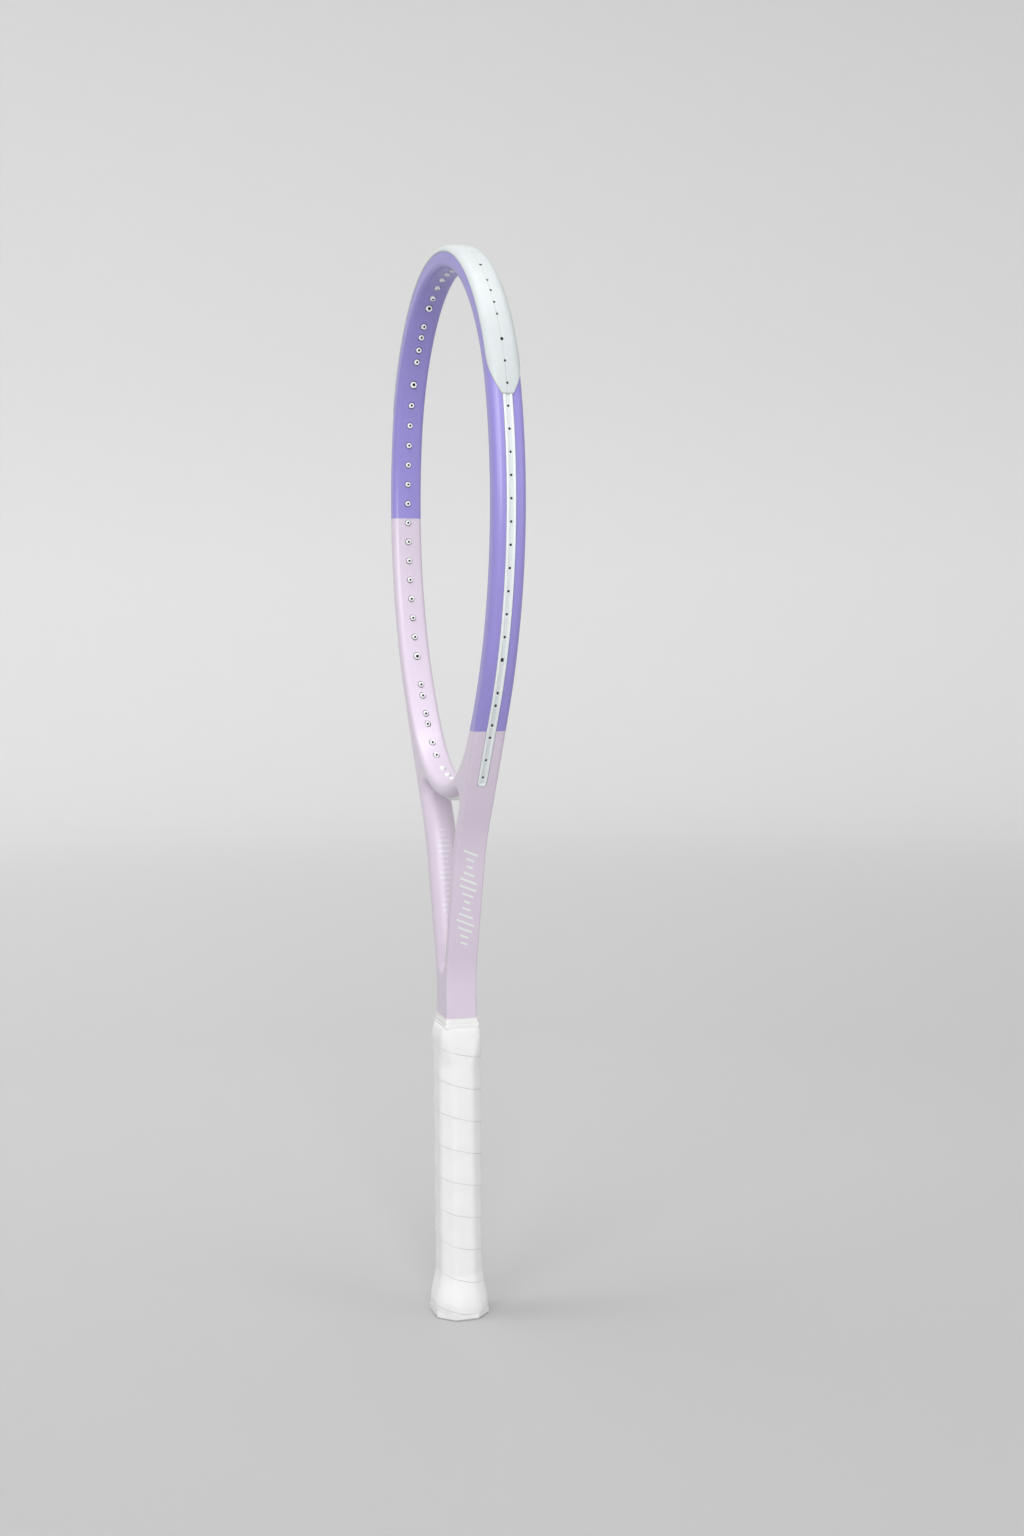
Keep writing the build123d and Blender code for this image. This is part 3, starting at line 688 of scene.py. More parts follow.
@dataclass(frozen=True)
class Hoop:
    """Sizes and outlines of the head, throat and stem.

    Attributes:
        top: Height of the crown's top.
        half: Half of the tube's depth along Y.
        tube: The tube's width in the string plane.
        arcs: Radius and sweep of crown, shoulder and side.
        opening_side: Sweep of the side as the head opening has it.
        throat_run: Straight run from the side's arc to the throat's bend.
        strip_foot: Height of the side strips' feet.
        groove_foot: Height of their grooves' feet.
        foot_fall: Height lost over one millimetre of the outline there.
        tip: Height of the bumper guard's tips.
    """
    top: float = 683.8
    half: float = 10.0
    tube: float = 13.0
    arcs: tuple = ((118.0, 34.0), (138.0, 42.0), (240.0, 46.5))
    opening_side: float = 54.0
    throat_run: float = 99.0
    throat_bend: float = 120.0
    stem_bend: float = 60.0
    stem_half: float = 13.2
    stem_join: float = 226.0
    stem_foot: float = 184.5
    bridge_depth: float = 10.8
    throat_corner: float = 5.0
    throat_foot: float = 1.5
    strip_foot: float = 349.5
    groove_foot: float = 349.3
    foot_fall: float = 0.8434
    groove_lip: float = 0.12
    tip: float = 579.5
    groove_half: float = 3.0
    groove_depth: float = 1.0

    def end(self) -> Walk:
        """The walk down the right side's arcs, ended where the throat begins."""
        walk = Walk(0, self.top, 0, -1)
        for radius, sweep in self.arcs:
            walk.arc(radius, sweep)
        return walk

    def centres(self) -> tuple[Point, Point, Point]:
        """Centres of the crown's, shoulder's and side's arcs."""
        walk, found = Walk(0, self.top, 0, -1), []
        for radius, sweep in self.arcs:
            lean = radians(walk.turn)
            found.append((walk.x - radius * sin(lean), walk.z - radius * cos(lean)))
            walk.arc(radius, sweep)
        return tuple(found)

    def runs(self) -> tuple[float, float, float, float]:
        """Turn of the shafts, and the straight runs above, between and below the bends."""
        end = self.end()
        lean = radians(end.turn)
        bend = Vector((end.x + cos(lean) * self.throat_run, end.z - sin(lean) * self.throat_run))
        slope = bend - Vector((self.stem_half, self.stem_join))
        shaft = 90 + degrees(atan2(slope.x, slope.y))
        first = self.throat_bend * tan(radians(end.turn - shaft) / 2)
        second = self.stem_bend * tan(radians(shaft - 90) / 2)
        return (shaft, self.throat_run - first, slope.length - first - second,
                self.stem_join - second - self.stem_foot)

    def bridge(self) -> tuple[float, float]:
        """Radius of the opening's lower arc, and the height of its centre."""
        x, z = self.centres()[2]
        turn = sum(sweep for _, sweep in self.arcs[:2]) + self.opening_side
        reach = self.arcs[2][0] - self.tube
        low_x, low_z = x + reach * sin(radians(turn)), z + reach * cos(radians(turn))
        radius = low_x / sin(radians(turn))
        return radius, low_z - radius * cos(radians(turn))

    def outer(self) -> list[Station]:
        """The frame's outline, with close stations where the groove ends."""
        shaft, upper, middle, lower = self.runs()
        walk = self.end()
        drop = (walk.z - self.groove_foot) / sin(radians(walk.turn))
        walk.line(drop - self.groove_half).line(self.groove_half - 0.6, 0.3)
        walk.line(0.57, 0.1).line(0.03)
        walk.line(upper - drop).arc(self.throat_bend, shaft - walk.turn)
        walk.line(middle).arc(self.stem_bend, 90 - shaft).line(lower)
        return walk.stations

    def opening(self) -> list[Station]:
        """The head opening, down to the bridge's middle."""
        walk = Walk(0, self.top - self.tube, 0, 1)
        radius, _ = self.bridge()
        sweeps = [sweep for _, sweep in self.arcs[:2]] + [self.opening_side]
        for (size, _), sweep in zip(self.arcs, sweeps):
            walk.arc(size - self.tube, sweep)
        split = self.split()
        walk.arc(radius, 180 - walk.turn - split, 1.6).arc(radius, split, 1.6)
        return walk.stations

    def split(self) -> float:
        """Angle from the bridge's middle where its moulding ends and the throat's corner starts."""
        return self._corner()[0]

    def _corner(self) -> tuple[float, float]:
        """Where the throat's upper corner meets the bridge (an angle) and the shaft (a run)."""
        end = self.end()
        lean = radians(end.turn)
        radius, height = self.bridge()
        inset = self.tube + self.throat_corner
        start = Vector((end.x - sin(lean) * inset, end.z - cos(lean) * inset - height))
        along = Vector((cos(lean), -sin(lean)))
        reach = radius + self.bridge_depth + self.throat_corner
        dot = start.dot(along)
        run = -dot + sqrt(dot * dot - start.length_squared + reach * reach)
        middle = start + along * run
        return degrees(atan2(middle.x, -middle.y)), run

    def throat(self) -> list[Station]:
        """The throat's opening, from the bridge's middle down to its foot."""
        shaft, upper, _, _ = self.runs()
        end_turn = self.end().turn
        radius, height = self.bridge()
        angle, run = self._corner()
        walk = Walk(0, height - radius - self.bridge_depth, 0, 1)
        walk.arc(radius + self.bridge_depth, -angle, 1.6)
        walk.arc(self.throat_corner, end_turn - walk.turn).line(upper - run)
        walk.arc(self.throat_bend + self.tube, shaft - end_turn)
        lean = radians(shaft)
        walk.line((walk.x - self.throat_foot * sin(lean)) / -cos(lean))
        return walk.arc(self.throat_foot, 180 - shaft).stations

    def skin(self, z: float) -> list[Point]:
        """Half section of the tube's outer side at this height, without the groove."""
        soft = eased(z, 320.0, 450.0)
        return rounded_edge(1.3 + 3.7 * soft, 0.1 + 0.9 * soft, self.half, 8, 9,
                            self.groove_half + self.groove_lip)

    def outer_section(self, stop: Station) -> list[Point]:
        """Section of the outer side, with the strip's groove where there is one."""
        edge = self.skin(stop.z)
        room = (stop.z - self.groove_foot) / self.foot_fall
        width = self.groove_half
        deep = self.groove_depth if self.groove_foot < stop.z < self.tip + 9 else 0.0
        if room < width:
            width = max(0.3, sqrt(max(0.0, width ** 2 - (width - room) ** 2)))
        if room <= 0.012:
            deep = 0.0
        rim = (edge[0][0], width + self.groove_lip) if width < self.groove_half else edge[0]
        bottom = deep + 0.001
        return both_halves([(bottom, 0.0), (bottom, width), rim, *edge[1:]])

    def opening_section(self, stop: Station) -> list[Point]:
        """Section of the head opening's side: flat, and rounder over the bridge."""
        bulge = eased(stop.turn, 128.0, 160.0)
        return both_halves(rounded_edge(3.4 + 1.0 * bulge, 0.12 + 0.75 * bulge, self.half, 6, 8))

    def throat_section(self, stop: Station) -> list[Point]:
        """Section of the throat's side: rounded under the bridge, half round on the shafts."""
        shaft = eased(stop.turn, 0.0, 80.0)
        return both_halves(rounded_edge(4.2 + 4.3 * shaft, 0.9 + 0.2 * shaft, self.half, 6, 12))

    def side_middle(self, z: float) -> tuple[float, float]:
        """X of the tube's middle on the right side, and its normal's angle above the X axis."""
        _, shoulder, side = self.centres()
        end = self.end()
        inset = self.tube / 2
        if z > end.z:
            (_, first), (radius, second), (low_radius, _) = self.arcs
            (cx, cz) = shoulder
            if z <= cz + (radius - inset) * cos(radians(first + second)):
                (cx, cz), radius = side, low_radius
            x = cx + sqrt((radius - inset) ** 2 - (z - cz) ** 2)
            return x, degrees(atan2(z - cz, x - cx))
        lean = radians(end.turn)
        mid_x, mid_z = end.x - sin(lean) * inset, end.z - cos(lean) * inset
        return mid_x - (mid_z - z) * tan(lean - pi / 2), 90 - end.turn

    def crown_middle(self, x: float) -> tuple[float, float]:
        """Height of the tube's middle over the crown, and its normal's angle."""
        centre, radius = self.centres()[0], self.arcs[0][0] - self.tube / 2
        rise = sqrt(radius ** 2 - x ** 2)
        return centre[1] + rise, degrees(atan2(rise, x))


@dataclass(frozen=True)
class Drilling:
    """The string holes, row by row."""
    hoop: Hoop
    cross_top: float = 612.2
    cross_pitch: float = 13.18
    cross_count: int = 15
    in_bumper: int = 3
    crown: tuple = ((6.4, 88), (19.2, 84), (32.4, 76), (46.5, 58), (61.0, 18))
    shoulder: tuple = ((648.6, 13), (642.0, 10), (634.4, 8), (627.0, 6))
    throat: tuple = ((408.2, -2), (400.7, -3), (388.7, -3), (381.4, -6), (367.9, -12), (357.5, -18))
    bridge_x: tuple = (6.0, 18.0, 30.0)
    tie_off: float = 61.0
    over_bridge: float = 375.0

    def _hole(self, x: float, z: float, normal: float, tilt: float, wide: bool) -> Hole:
        """One hole, as long as the tube is where the hole crosses it."""
        return Hole(x, z, tilt, self.hoop.tube / 2 / cos(radians(tilt - normal)),
                    DOUBLE if wide else SINGLE)

    def _side(self, rows: Sequence[Point], wide: Sequence[int] = ()) -> list[Hole]:
        """Holes of the side at the given heights and tilts."""
        made = []
        for index, (z, tilt) in enumerate(rows):
            x, normal = self.hoop.side_middle(z)
            made.append(self._hole(x, z, normal, tilt, index in wide))
        return made

    def crosses(self) -> list[Hole]:
        """Holes of the cross strings."""
        rows = [(self.cross_top - self.cross_pitch * i, 0) for i in range(self.cross_count)]
        return self._side(rows, (0, self.cross_count - 1))

    def inside(self, hole: Hole) -> float:
        """Distance from a hole's middle, along it, to the face of the head opening."""
        if hole.z > self.over_bridge:
            return hole.half
        radius, height = self.hoop.bridge()
        lean, rise = radians(hole.tilt), hole.z - height
        along = hole.x * cos(lean) + rise * sin(lean)
        short = hole.x ** 2 + rise ** 2 - radius ** 2
        return max(hole.half, along - sqrt(max(0.0, along * along - short)))

    def of_bumper(self) -> list[Hole]:
        """Holes whose barrels belong to the bumper guard."""
        over = []
        for x, tilt in self.crown:
            z, normal = self.hoop.crown_middle(x)
            over.append(self._hole(x, z, normal, tilt, x == self.tie_off))
        return over + self._side(self.shoulder) + self.crosses()[:self.in_bumper]

    def of_strips(self) -> list[Hole]:
        """Holes whose barrels belong to the side strips."""
        return self.crosses()[self.in_bumper:] + self._side(self.throat)


def on_both_sides(holes: Iterable[Hole]) -> list[tuple[Hole, Matrix]]:
    """Each hole with its matrix on the right, then on the left."""
    return [(hole, hole.stand(side)) for hole in holes for side in (1, -1)]


def rod(bm: Mesh, place: Matrix, radius: float, low: float, high: float,
        segments: int = 24) -> None:
    """Add a closed cylinder along the matrix's Z axis, between two heights on it."""
    middle = place @ Matrix.Translation((0, 0, (low + high) / 2))
    bmesh.ops.create_cone(bm, cap_ends=True, segments=segments, radius1=radius, radius2=radius,
                          depth=high - low, matrix=middle)


def paint_shade_in_middle(bm: Mesh, reach: float, share: float) -> None:
    """Paint shade along the middle of a strip or guard, in its channel or parting crease; the share
    goes into "bore".
    """
    layer = bm.verts.layers.float.get("bore") or bm.verts.layers.float.new("bore")
    for vert in bm.verts:
        if abs(vert.co.y) < reach:
            vert[layer] = share


def cut(bm: Mesh, cutters: Mesh) -> Mesh:
    """Cut one closed mesh with others.

    Args:
        bm: The mesh to cut; it is freed.
        cutters: The closed shapes to take away; they are freed.

    Returns:
        The mesh that is left.
    """
    mend(bm)
    mend(cutters)
    solid, tool = linked(bm, "cutting"), linked(cutters, "cutting")
    drill = solid.modifiers.new("drill", "BOOLEAN")
    drill.operation, drill.solver, drill.object = "DIFFERENCE", "EXACT", tool
    graph = bpy.context.evaluated_depsgraph_get()
    result = bpy.data.meshes.new_from_object(solid.evaluated_get(graph))
    left = bmesh.new()
    left.from_mesh(result)
    for mesh in (result, solid.data, tool.data):
        bpy.data.meshes.remove(mesh)
    return left


# --- frame

Section = Callable[[Station], list[Point]]


def pulled(bm: Mesh, stations: Sequence[Station], section: Section,
           closed: bool = False) -> Rows:
    """Pull a section along stations; the section gives (depth, y) points for each."""
    rings = ([stop.at(depth, y) for depth, y in section(stop)] for stop in stations)
    return Rows(bm, rings, closed)


@dataclass(frozen=True)
class Frame:
    """The lacquered carbon: hoop, shafts and stem, and the bridge between them.

    Attributes:
        drill_room: How much wider than a barrel's radius its hole is.
        overrun: How far the drill runs past the tube on both sides.
        bridge_drill: The drill's ends, from the lowest point of the head opening.
        hairpin: Width, depth and corner of the part inside the handle.
    """
    hoop: Hoop
    drilling: Drilling
    lacquer: Lacquer = Lacquer()
    drill_room: float = 0.42
    overrun: float = 4.0
    bridge_drill: Point = (-18.0, 14.0)
    hairpin: tuple[float, float, float] = (20.0, 15.0, 3.0)
    hairpin_foot: float = 16.0

    def _ends(self) -> tuple[list[Station], int, list[Station], int]:
        """Stations of both inner outlines, with the index at which each passes the bridge's end."""
        opening, throat, split = self.hoop.opening(), self.hoop.throat(), self.hoop.split()
        first = next(i for i, s in enumerate(opening) if abs(s.turn - 180 + split) < 1e-6)
        second = next(i for i, s in enumerate(throat) if abs(s.turn + split) < 1e-6)
        return opening, first, throat, second

    def _drill(self, bm: Mesh) -> Mesh:
        """Drill the string holes, a little wider than their barrels."""
        rods = bmesh.new()
        for hole, stand in on_both_sides(self.drilling.of_bumper() + self.drilling.of_strips()):
            rod(rods, stand, hole.barrel.radius + self.drill_room,
                -self.drilling.inside(hole) - self.overrun, hole.half + self.overrun)
        return cut(bm, rods)

    def build_tube(self, paint: bpy.types.Material) -> None:
        """Build hoop, shafts and stem, with the hairpin inside the handle."""
        opening, first, throat, second = self._ends()
        bm = bmesh.new()
        outer = pulled(bm, self.hoop.outer(), self.hoop.outer_section).rows
        inner = pulled(bm, opening[:first + 1], self.hoop.opening_section).rows
        fork = pulled(bm, throat[second:], self.hoop.throat_section).rows
        half, stem_foot = self.hoop.half, self.hoop.stem_foot
        foot = [bm.verts.new((0, y, stem_foot)) for y in (-half, half)]
        for side in (0, -1):
            polygon(bm, [*(r[side] for r in outer), foot[side], *(r[side] for r in reversed(fork)),
                         *(r[side] for r in reversed(inner))])
        polygon(bm, [*outer[-1], foot[1], foot[0]])
        polygon(bm, [*inner[-1], *reversed(fork[0])])
        mirrored(bm)
        bm = self._drill(bm)
        x, y, corner = self.hairpin
        high = stem_foot + 0.5
        middle = Matrix.Translation((0, 0, (high + self.hairpin_foot) / 2))
        block = bmesh.ops.create_cube(bm, size=1, matrix=middle @ Matrix.Diagonal(
            (x, y, high - self.hairpin_foot, 1)))["verts"]
        upright = [e for e in {e for v in block for e in v.link_edges}
                   if abs(e.verts[0].co.z - e.verts[1].co.z) > 1]
        bmesh.ops.bevel(bm, geom=upright, offset=corner, segments=6, profile=0.5, affect="EDGES",
                        material=-1)
        piece(bm, "lacquered_frame", paint, "frame_tube")

    def build_bridge(self, paint: bpy.types.Material) -> None:
        """Build the bridge, drilled for its six barrels."""
        opening, first, throat, second = self._ends()
        bm = bmesh.new()
        upper = pulled(bm, opening[first:], self.hoop.opening_section).rows
        lower = pulled(bm, throat[:second + 1], self.hoop.throat_section).rows
        for side in (0, -1):
            polygon(bm, [*(r[side] for r in lower), *(r[side] for r in upper)])
        polygon(bm, [*upper[0], *reversed(lower[-1])])
        mirrored(bm)
        rods = bmesh.new()
        radius, height = self.hoop.bridge()
        for x in self.drilling.bridge_x:
            for side in (1, -1):
                rod(rods, Matrix.Translation((side * x, 0, height - radius)),
                    SINGLE.radius + self.drill_room, *self.bridge_drill)
        piece(cut(bm, rods), "lacquered_bridge", paint, "throat_bridge")


# --- guards and strips

@dataclass(frozen=True)
class Bumper:
    """Guard over the crown: a soft-edged skin with a parting crease and two tapering tips.

    Attributes:
        skin: Thickness over the outer face, and cheek the one over the front and back.
        reach: Half width along the tube's section, and tip_half the one at the tips.
        taper: Height over which a tip widens, with curve as its exponent.
        crease: Depth of the parting line, and parting its half width.
        rim: Width of the rounded edge.
        gap: Room between the skin and the tube.
    """
    hoop: Hoop
    drilling: Drilling
    skin: float = 1.2
    cheek: float = 0.75
    reach: float = 10.9
    tip_half: float = 3.5
    taper: float = 25.0
    curve: float = 1.95
    crease: float = 0.32
    parting: float = 0.55
    rim: float = 0.8
    gap: float = 0.03
    finish: Moulding = Moulding()

    def _stations(self) -> list[Station]:
        """Stops from the crown's middle to the tip, close together near the tip."""
        walk = Walk(0, self.hoop.top, 0, -1)
        (crown, crown_sweep), (shoulder, sweep), (side, _) = self.hoop.arcs
        walk.arc(crown, crown_sweep).arc(shoulder, sweep - 12).arc(shoulder, 12, 0.8)
        centre = self.hoop.centres()[2]
        rise = self.hoop.tip - centre[1]
        last = 90 - degrees(atan2(rise, sqrt(side ** 2 - rise ** 2)))
        return walk.arc(side, last - walk.turn - 0.2, 0.4).arc(side, 0.2, 0.1).stations

    def _section(self, stop: Station) -> list[Point]:
        """Closed section of the skin: outside from edge to edge, then back along the inside."""
        soft = rounded_edge(5.0, 1.0, self.hoop.half, 10, 12)
        run = [0.0]
        for (d0, y0), (d1, y1) in zip(soft, soft[1:]):
            run.append(run[-1] + sqrt((d1 - d0) ** 2 + (y1 - y0) ** 2))
        up = min(1.0, max(0.0, (stop.z - self.hoop.tip) / self.taper))
        width = self.tip_half + (self.reach - self.tip_half) * (1 - (1 - up) ** self.curve)
        blunt = min(1.0, (stop.z - self.hoop.tip + 0.02) / 0.7)
        thin = sqrt(max(0.04, 1 - (1 - blunt) ** 2))

        def place(along: float, out: float) -> Point:
            """Point this far along the tube's section, and out from it."""
            if along >= run[-1]:
                return soft[-1][0] + along - run[-1], self.hoop.half + out
            i = next(k for k in range(1, len(run)) if run[k] > along)
            (d0, y0), (d1, y1) = soft[i - 1], soft[i]
            share, length = (along - run[i - 1]) / (run[i] - run[i - 1]), run[i] - run[i - 1]
            return (d0 + (d1 - d0) * share - out * (y1 - y0) / length,
                    y0 + (y1 - y0) * share + out * (d1 - d0) / length)

        spots = [0.0, 0.28, self.parting]
        spots += [self.parting + (width - self.parting - self.rim) * i / 14 for i in range(1, 15)]
        spots += [width - 0.5, width - 0.25, width - 0.08, width]
        half = []
        for spot in spots:
            thick = self.skin + (self.cheek - self.skin) * eased(spot, 5.0, 12.0)
            edge = max(0.0, (spot - width + self.rim) / self.rim)
            thick *= thin * sqrt(max(0.0, 1 - edge * edge) + 0.01)
            thick -= self.crease * thin * (1 - eased(spot, 0.1, 0.56))
            half.append(place(spot, max(0.08, thick)))
        inside = [place(width * share, self.gap) for share in (1.0, 0.75, 0.5, 0.25)]
        back = [(depth, -y) for depth, y in reversed(half[1:])]
        return [*back, *half, *inside, place(0.0, self.gap),
                *((depth, -y) for depth, y in reversed(inside))]

    def build(self) -> None:
        """Build the skin, pierce it and add the barrels below it."""
        bm = bmesh.new()
        pulled(bm, self._stations(), self._section, closed=True).cap(-1)
        mirrored(bm)
        rods, holes = bmesh.new(), on_both_sides(self.drilling.of_bumper())
        for hole, stand in holes:
            rod(rods, stand, hole.barrel.mouth, hole.half - 3, hole.half + 4, 16)
        bm = cut(bm, rods)
        # Painted shade along the bumper's parting crease.
        paint_shade_in_middle(bm, 0.2, 0.2)
        for hole, stand in holes:
            hole.barrel.add(bm, stand, -hole.half - BARREL_PROUD, hole.half - 0.4)
        piece(bm, "bumper_cap", self.finish.make("bumper_nylon"), "bumper_guard")


@dataclass(frozen=True)
class SideStrip:
    """Strip in a side's groove: two raised rims, a string channel and a round foot."""
    hoop: Hoop
    drilling: Drilling
    side: int
    half_width: float = 2.9
    proud: float = 0.3
    channel: float = 0.75
    bed: float = 0.97
    finish: Moulding = Moulding((0.76, 0.80, 0.81), (0.72, 0.76, 0.77), 0.38)

    def _section(self, stop: Station) -> list[Point]:
        """Closed section, rim to rim, narrowing round the foot."""
        room = max(0.0, (stop.z - self.hoop.strip_foot) / self.hoop.foot_fall)
        share = sqrt(max(0.012, 1 - max(0.0, 1 - room / self.half_width) ** 2))
        top, deep = -self.proud, self.channel * eased(room, 1.5, 2.3)
        half = ((top + deep, 0.0), (top + deep, 0.95), (top + deep * 0.75, 1.16),
                (top + deep * 0.2, 1.3), (top, 1.55), (top - 0.03, 1.95), (top, 2.35),
                (top + 0.09, 2.66), (top + 0.28, 2.84), (top + 0.5, self.half_width),
                (self.bed, self.half_width))
        return both_halves([(depth, y * share) for depth, y in half])

    def build(self) -> None:
        """Build the strip, pierce it and add its barrels."""
        stations = [stop for stop in self.hoop.outer()
                    if self.hoop.strip_foot <= stop.z <= self.hoop.tip + 4]
        bm = bmesh.new()
        rows = pulled(bm, stations, self._section, closed=True)
        rows.cap(0)
        rows.cap(-1)
        rods, holes = bmesh.new(), self.drilling.of_strips()
        for hole in holes:
            rod(rods, hole.stand(1), hole.barrel.mouth, hole.half - 3, hole.half + 3, 16)
        bm = cut(bm, rods)
        # Painted shade in the strip's string channel.
        paint_shade_in_middle(bm, 1.0, 0.2)
        for hole in holes:
            hole.barrel.add(bm, hole.stand(1), -self.drilling.inside(hole) - BARREL_PROUD,
                            hole.half - self.bed + 0.1)
        if self.side < 0:
            bmesh.ops.scale(bm, vec=(-1, 1, 1), verts=bm.verts[:])
        name = "right" if self.side > 0 else "left"
        piece(bm, f"side_strip_{name}", self.finish.make(f"{name}_strip_nylon"),
              f"grommet_strip_{name}")


@dataclass(frozen=True)
class ThroatStrip:
    """Strip below the bridge, bossed round its six barrels."""
    hoop: Hoop
    drilling: Drilling
    thick: float = 1.8
    half_width: float = 3.5
    boss: float = 0.65
    boss_reach: float = 3.6
    end_round: float = 3.2
    sunk: float = 0.3
    half_angle: float = 20.3
    # Lighter than the other strips: painted light making up for the shade under the bridge.
    finish: Moulding = Moulding((0.87, 0.89, 0.87), (0.83, 0.85, 0.83), 0.4)

    def _section(self, stop: Station) -> list[Point]:
        """Closed section, wider and thicker at each boss and rounded at the end."""
        radius = self.hoop.bridge()[0] + self.hoop.bridge_depth
        near = min(abs(stop.x - x) for x in self.drilling.bridge_x)
        swell = eased(1 - near / self.boss_reach, 0.0, 1.0)
        room = max(0.02, (self.half_angle + stop.turn) * radians(1) * radius)
        share = sqrt(max(0.01, 1 - max(0.0, 1 - room / self.end_round) ** 2))
        wide = (self.half_width + self.boss * swell) * share
        deep = self.thick * (0.8 + 0.2 * swell)
        half = [(-deep, 0.0), (-deep, wide * 0.55), (-deep * 0.97, wide * 0.74),
                (-deep * 0.84, wide * 0.88), (-deep * 0.6, wide * 0.97), (-deep * 0.3, wide),
                (self.sunk, wide), (self.sunk, 0.0)]
        return half + [(depth, -y) for depth, y in reversed(half[1:-1])]

    def build(self) -> None:
        """Build the strip and its barrels."""
        radius, height = self.hoop.bridge()
        outer = radius + self.hoop.bridge_depth
        walk = Walk(0, height - outer, 0, 1)
        walk.arc(outer, -(self.half_angle - 2), 0.6).arc(outer, -1.98, 0.15)
        bm = bmesh.new()
        pulled(bm, walk.stations, self._section, closed=True).cap(-1)
        mirrored(bm)
        rods, places = bmesh.new(), []
        for x in (side * spot for spot in self.drilling.bridge_x for side in (1, -1)):
            low = height - sqrt((outer + self.thick) ** 2 - x * x)
            high = height - sqrt(radius ** 2 - x * x) + BARREL_PROUD
            rod(rods, Matrix.Translation((x, 0, low)), SINGLE.mouth, -2, 4, 16)
            places.append((Matrix.Translation((x, 0, high)) @ Matrix.Rotation(pi, 4, "X"),
                           high - low - self.thick + 0.2))
        bm = cut(bm, rods)
        for place, length in places:
            SINGLE.add(bm, place, 0.0, length)
        piece(bm, "throat_strip", self.finish.make("throat_strip_nylon"),
              "throat_grommet_strip")


# --- handle

@dataclass(frozen=True)
class Octagon:
    """One section of the handle: its sizes and chamfer leg, in millimetres."""
    x: float
    y: float
    leg: float

    def radius(self, angle: float, soft: float = 20.0) -> float:
        """Distance from the axis to the section's softened edge."""
        across, along = abs(cos(angle)), abs(sin(angle))
        sides = (across * 2 / self.x, along * 2 / self.y,
                 (across + along) / (self.x / 2 + self.y / 2 - self.leg))
        return sum(side ** soft for side in sides) ** (-1 / soft)

    def toward(self, other: "Octagon", share: float) -> "Octagon":
        """A section between this one and another."""
        return Octagon(self.x + (other.x - self.x) * share, self.y + (other.y - self.y) * share,
                       self.leg + (other.leg - self.leg) * share)


@dataclass(frozen=True)
class Crease:
    """A short fold pressed into the winding.

    Attributes:
        z: Height of its middle.
        angle: Direction of its middle, in degrees.
        spread: Half of the angle that it takes, in degrees.
        slope: Rise over the turn, in millimetres a radian.
        height: Relief; negative is a hollow.
    """
    z: float
    angle: float
    spread: float
    slope: float
    height: float

    def lift(self, angle: float, z: float) -> float:
        """Relief that the fold adds here."""
        away = (angle - radians(self.angle) + pi) % (2 * pi) - pi
        fade = 1 - eased(abs(away), radians(self.spread) * 0.4, radians(self.spread))
        off = (z - self.z - self.slope * away) / 0.7
        return self.height * fade * max(0.0, 1 - off * off)


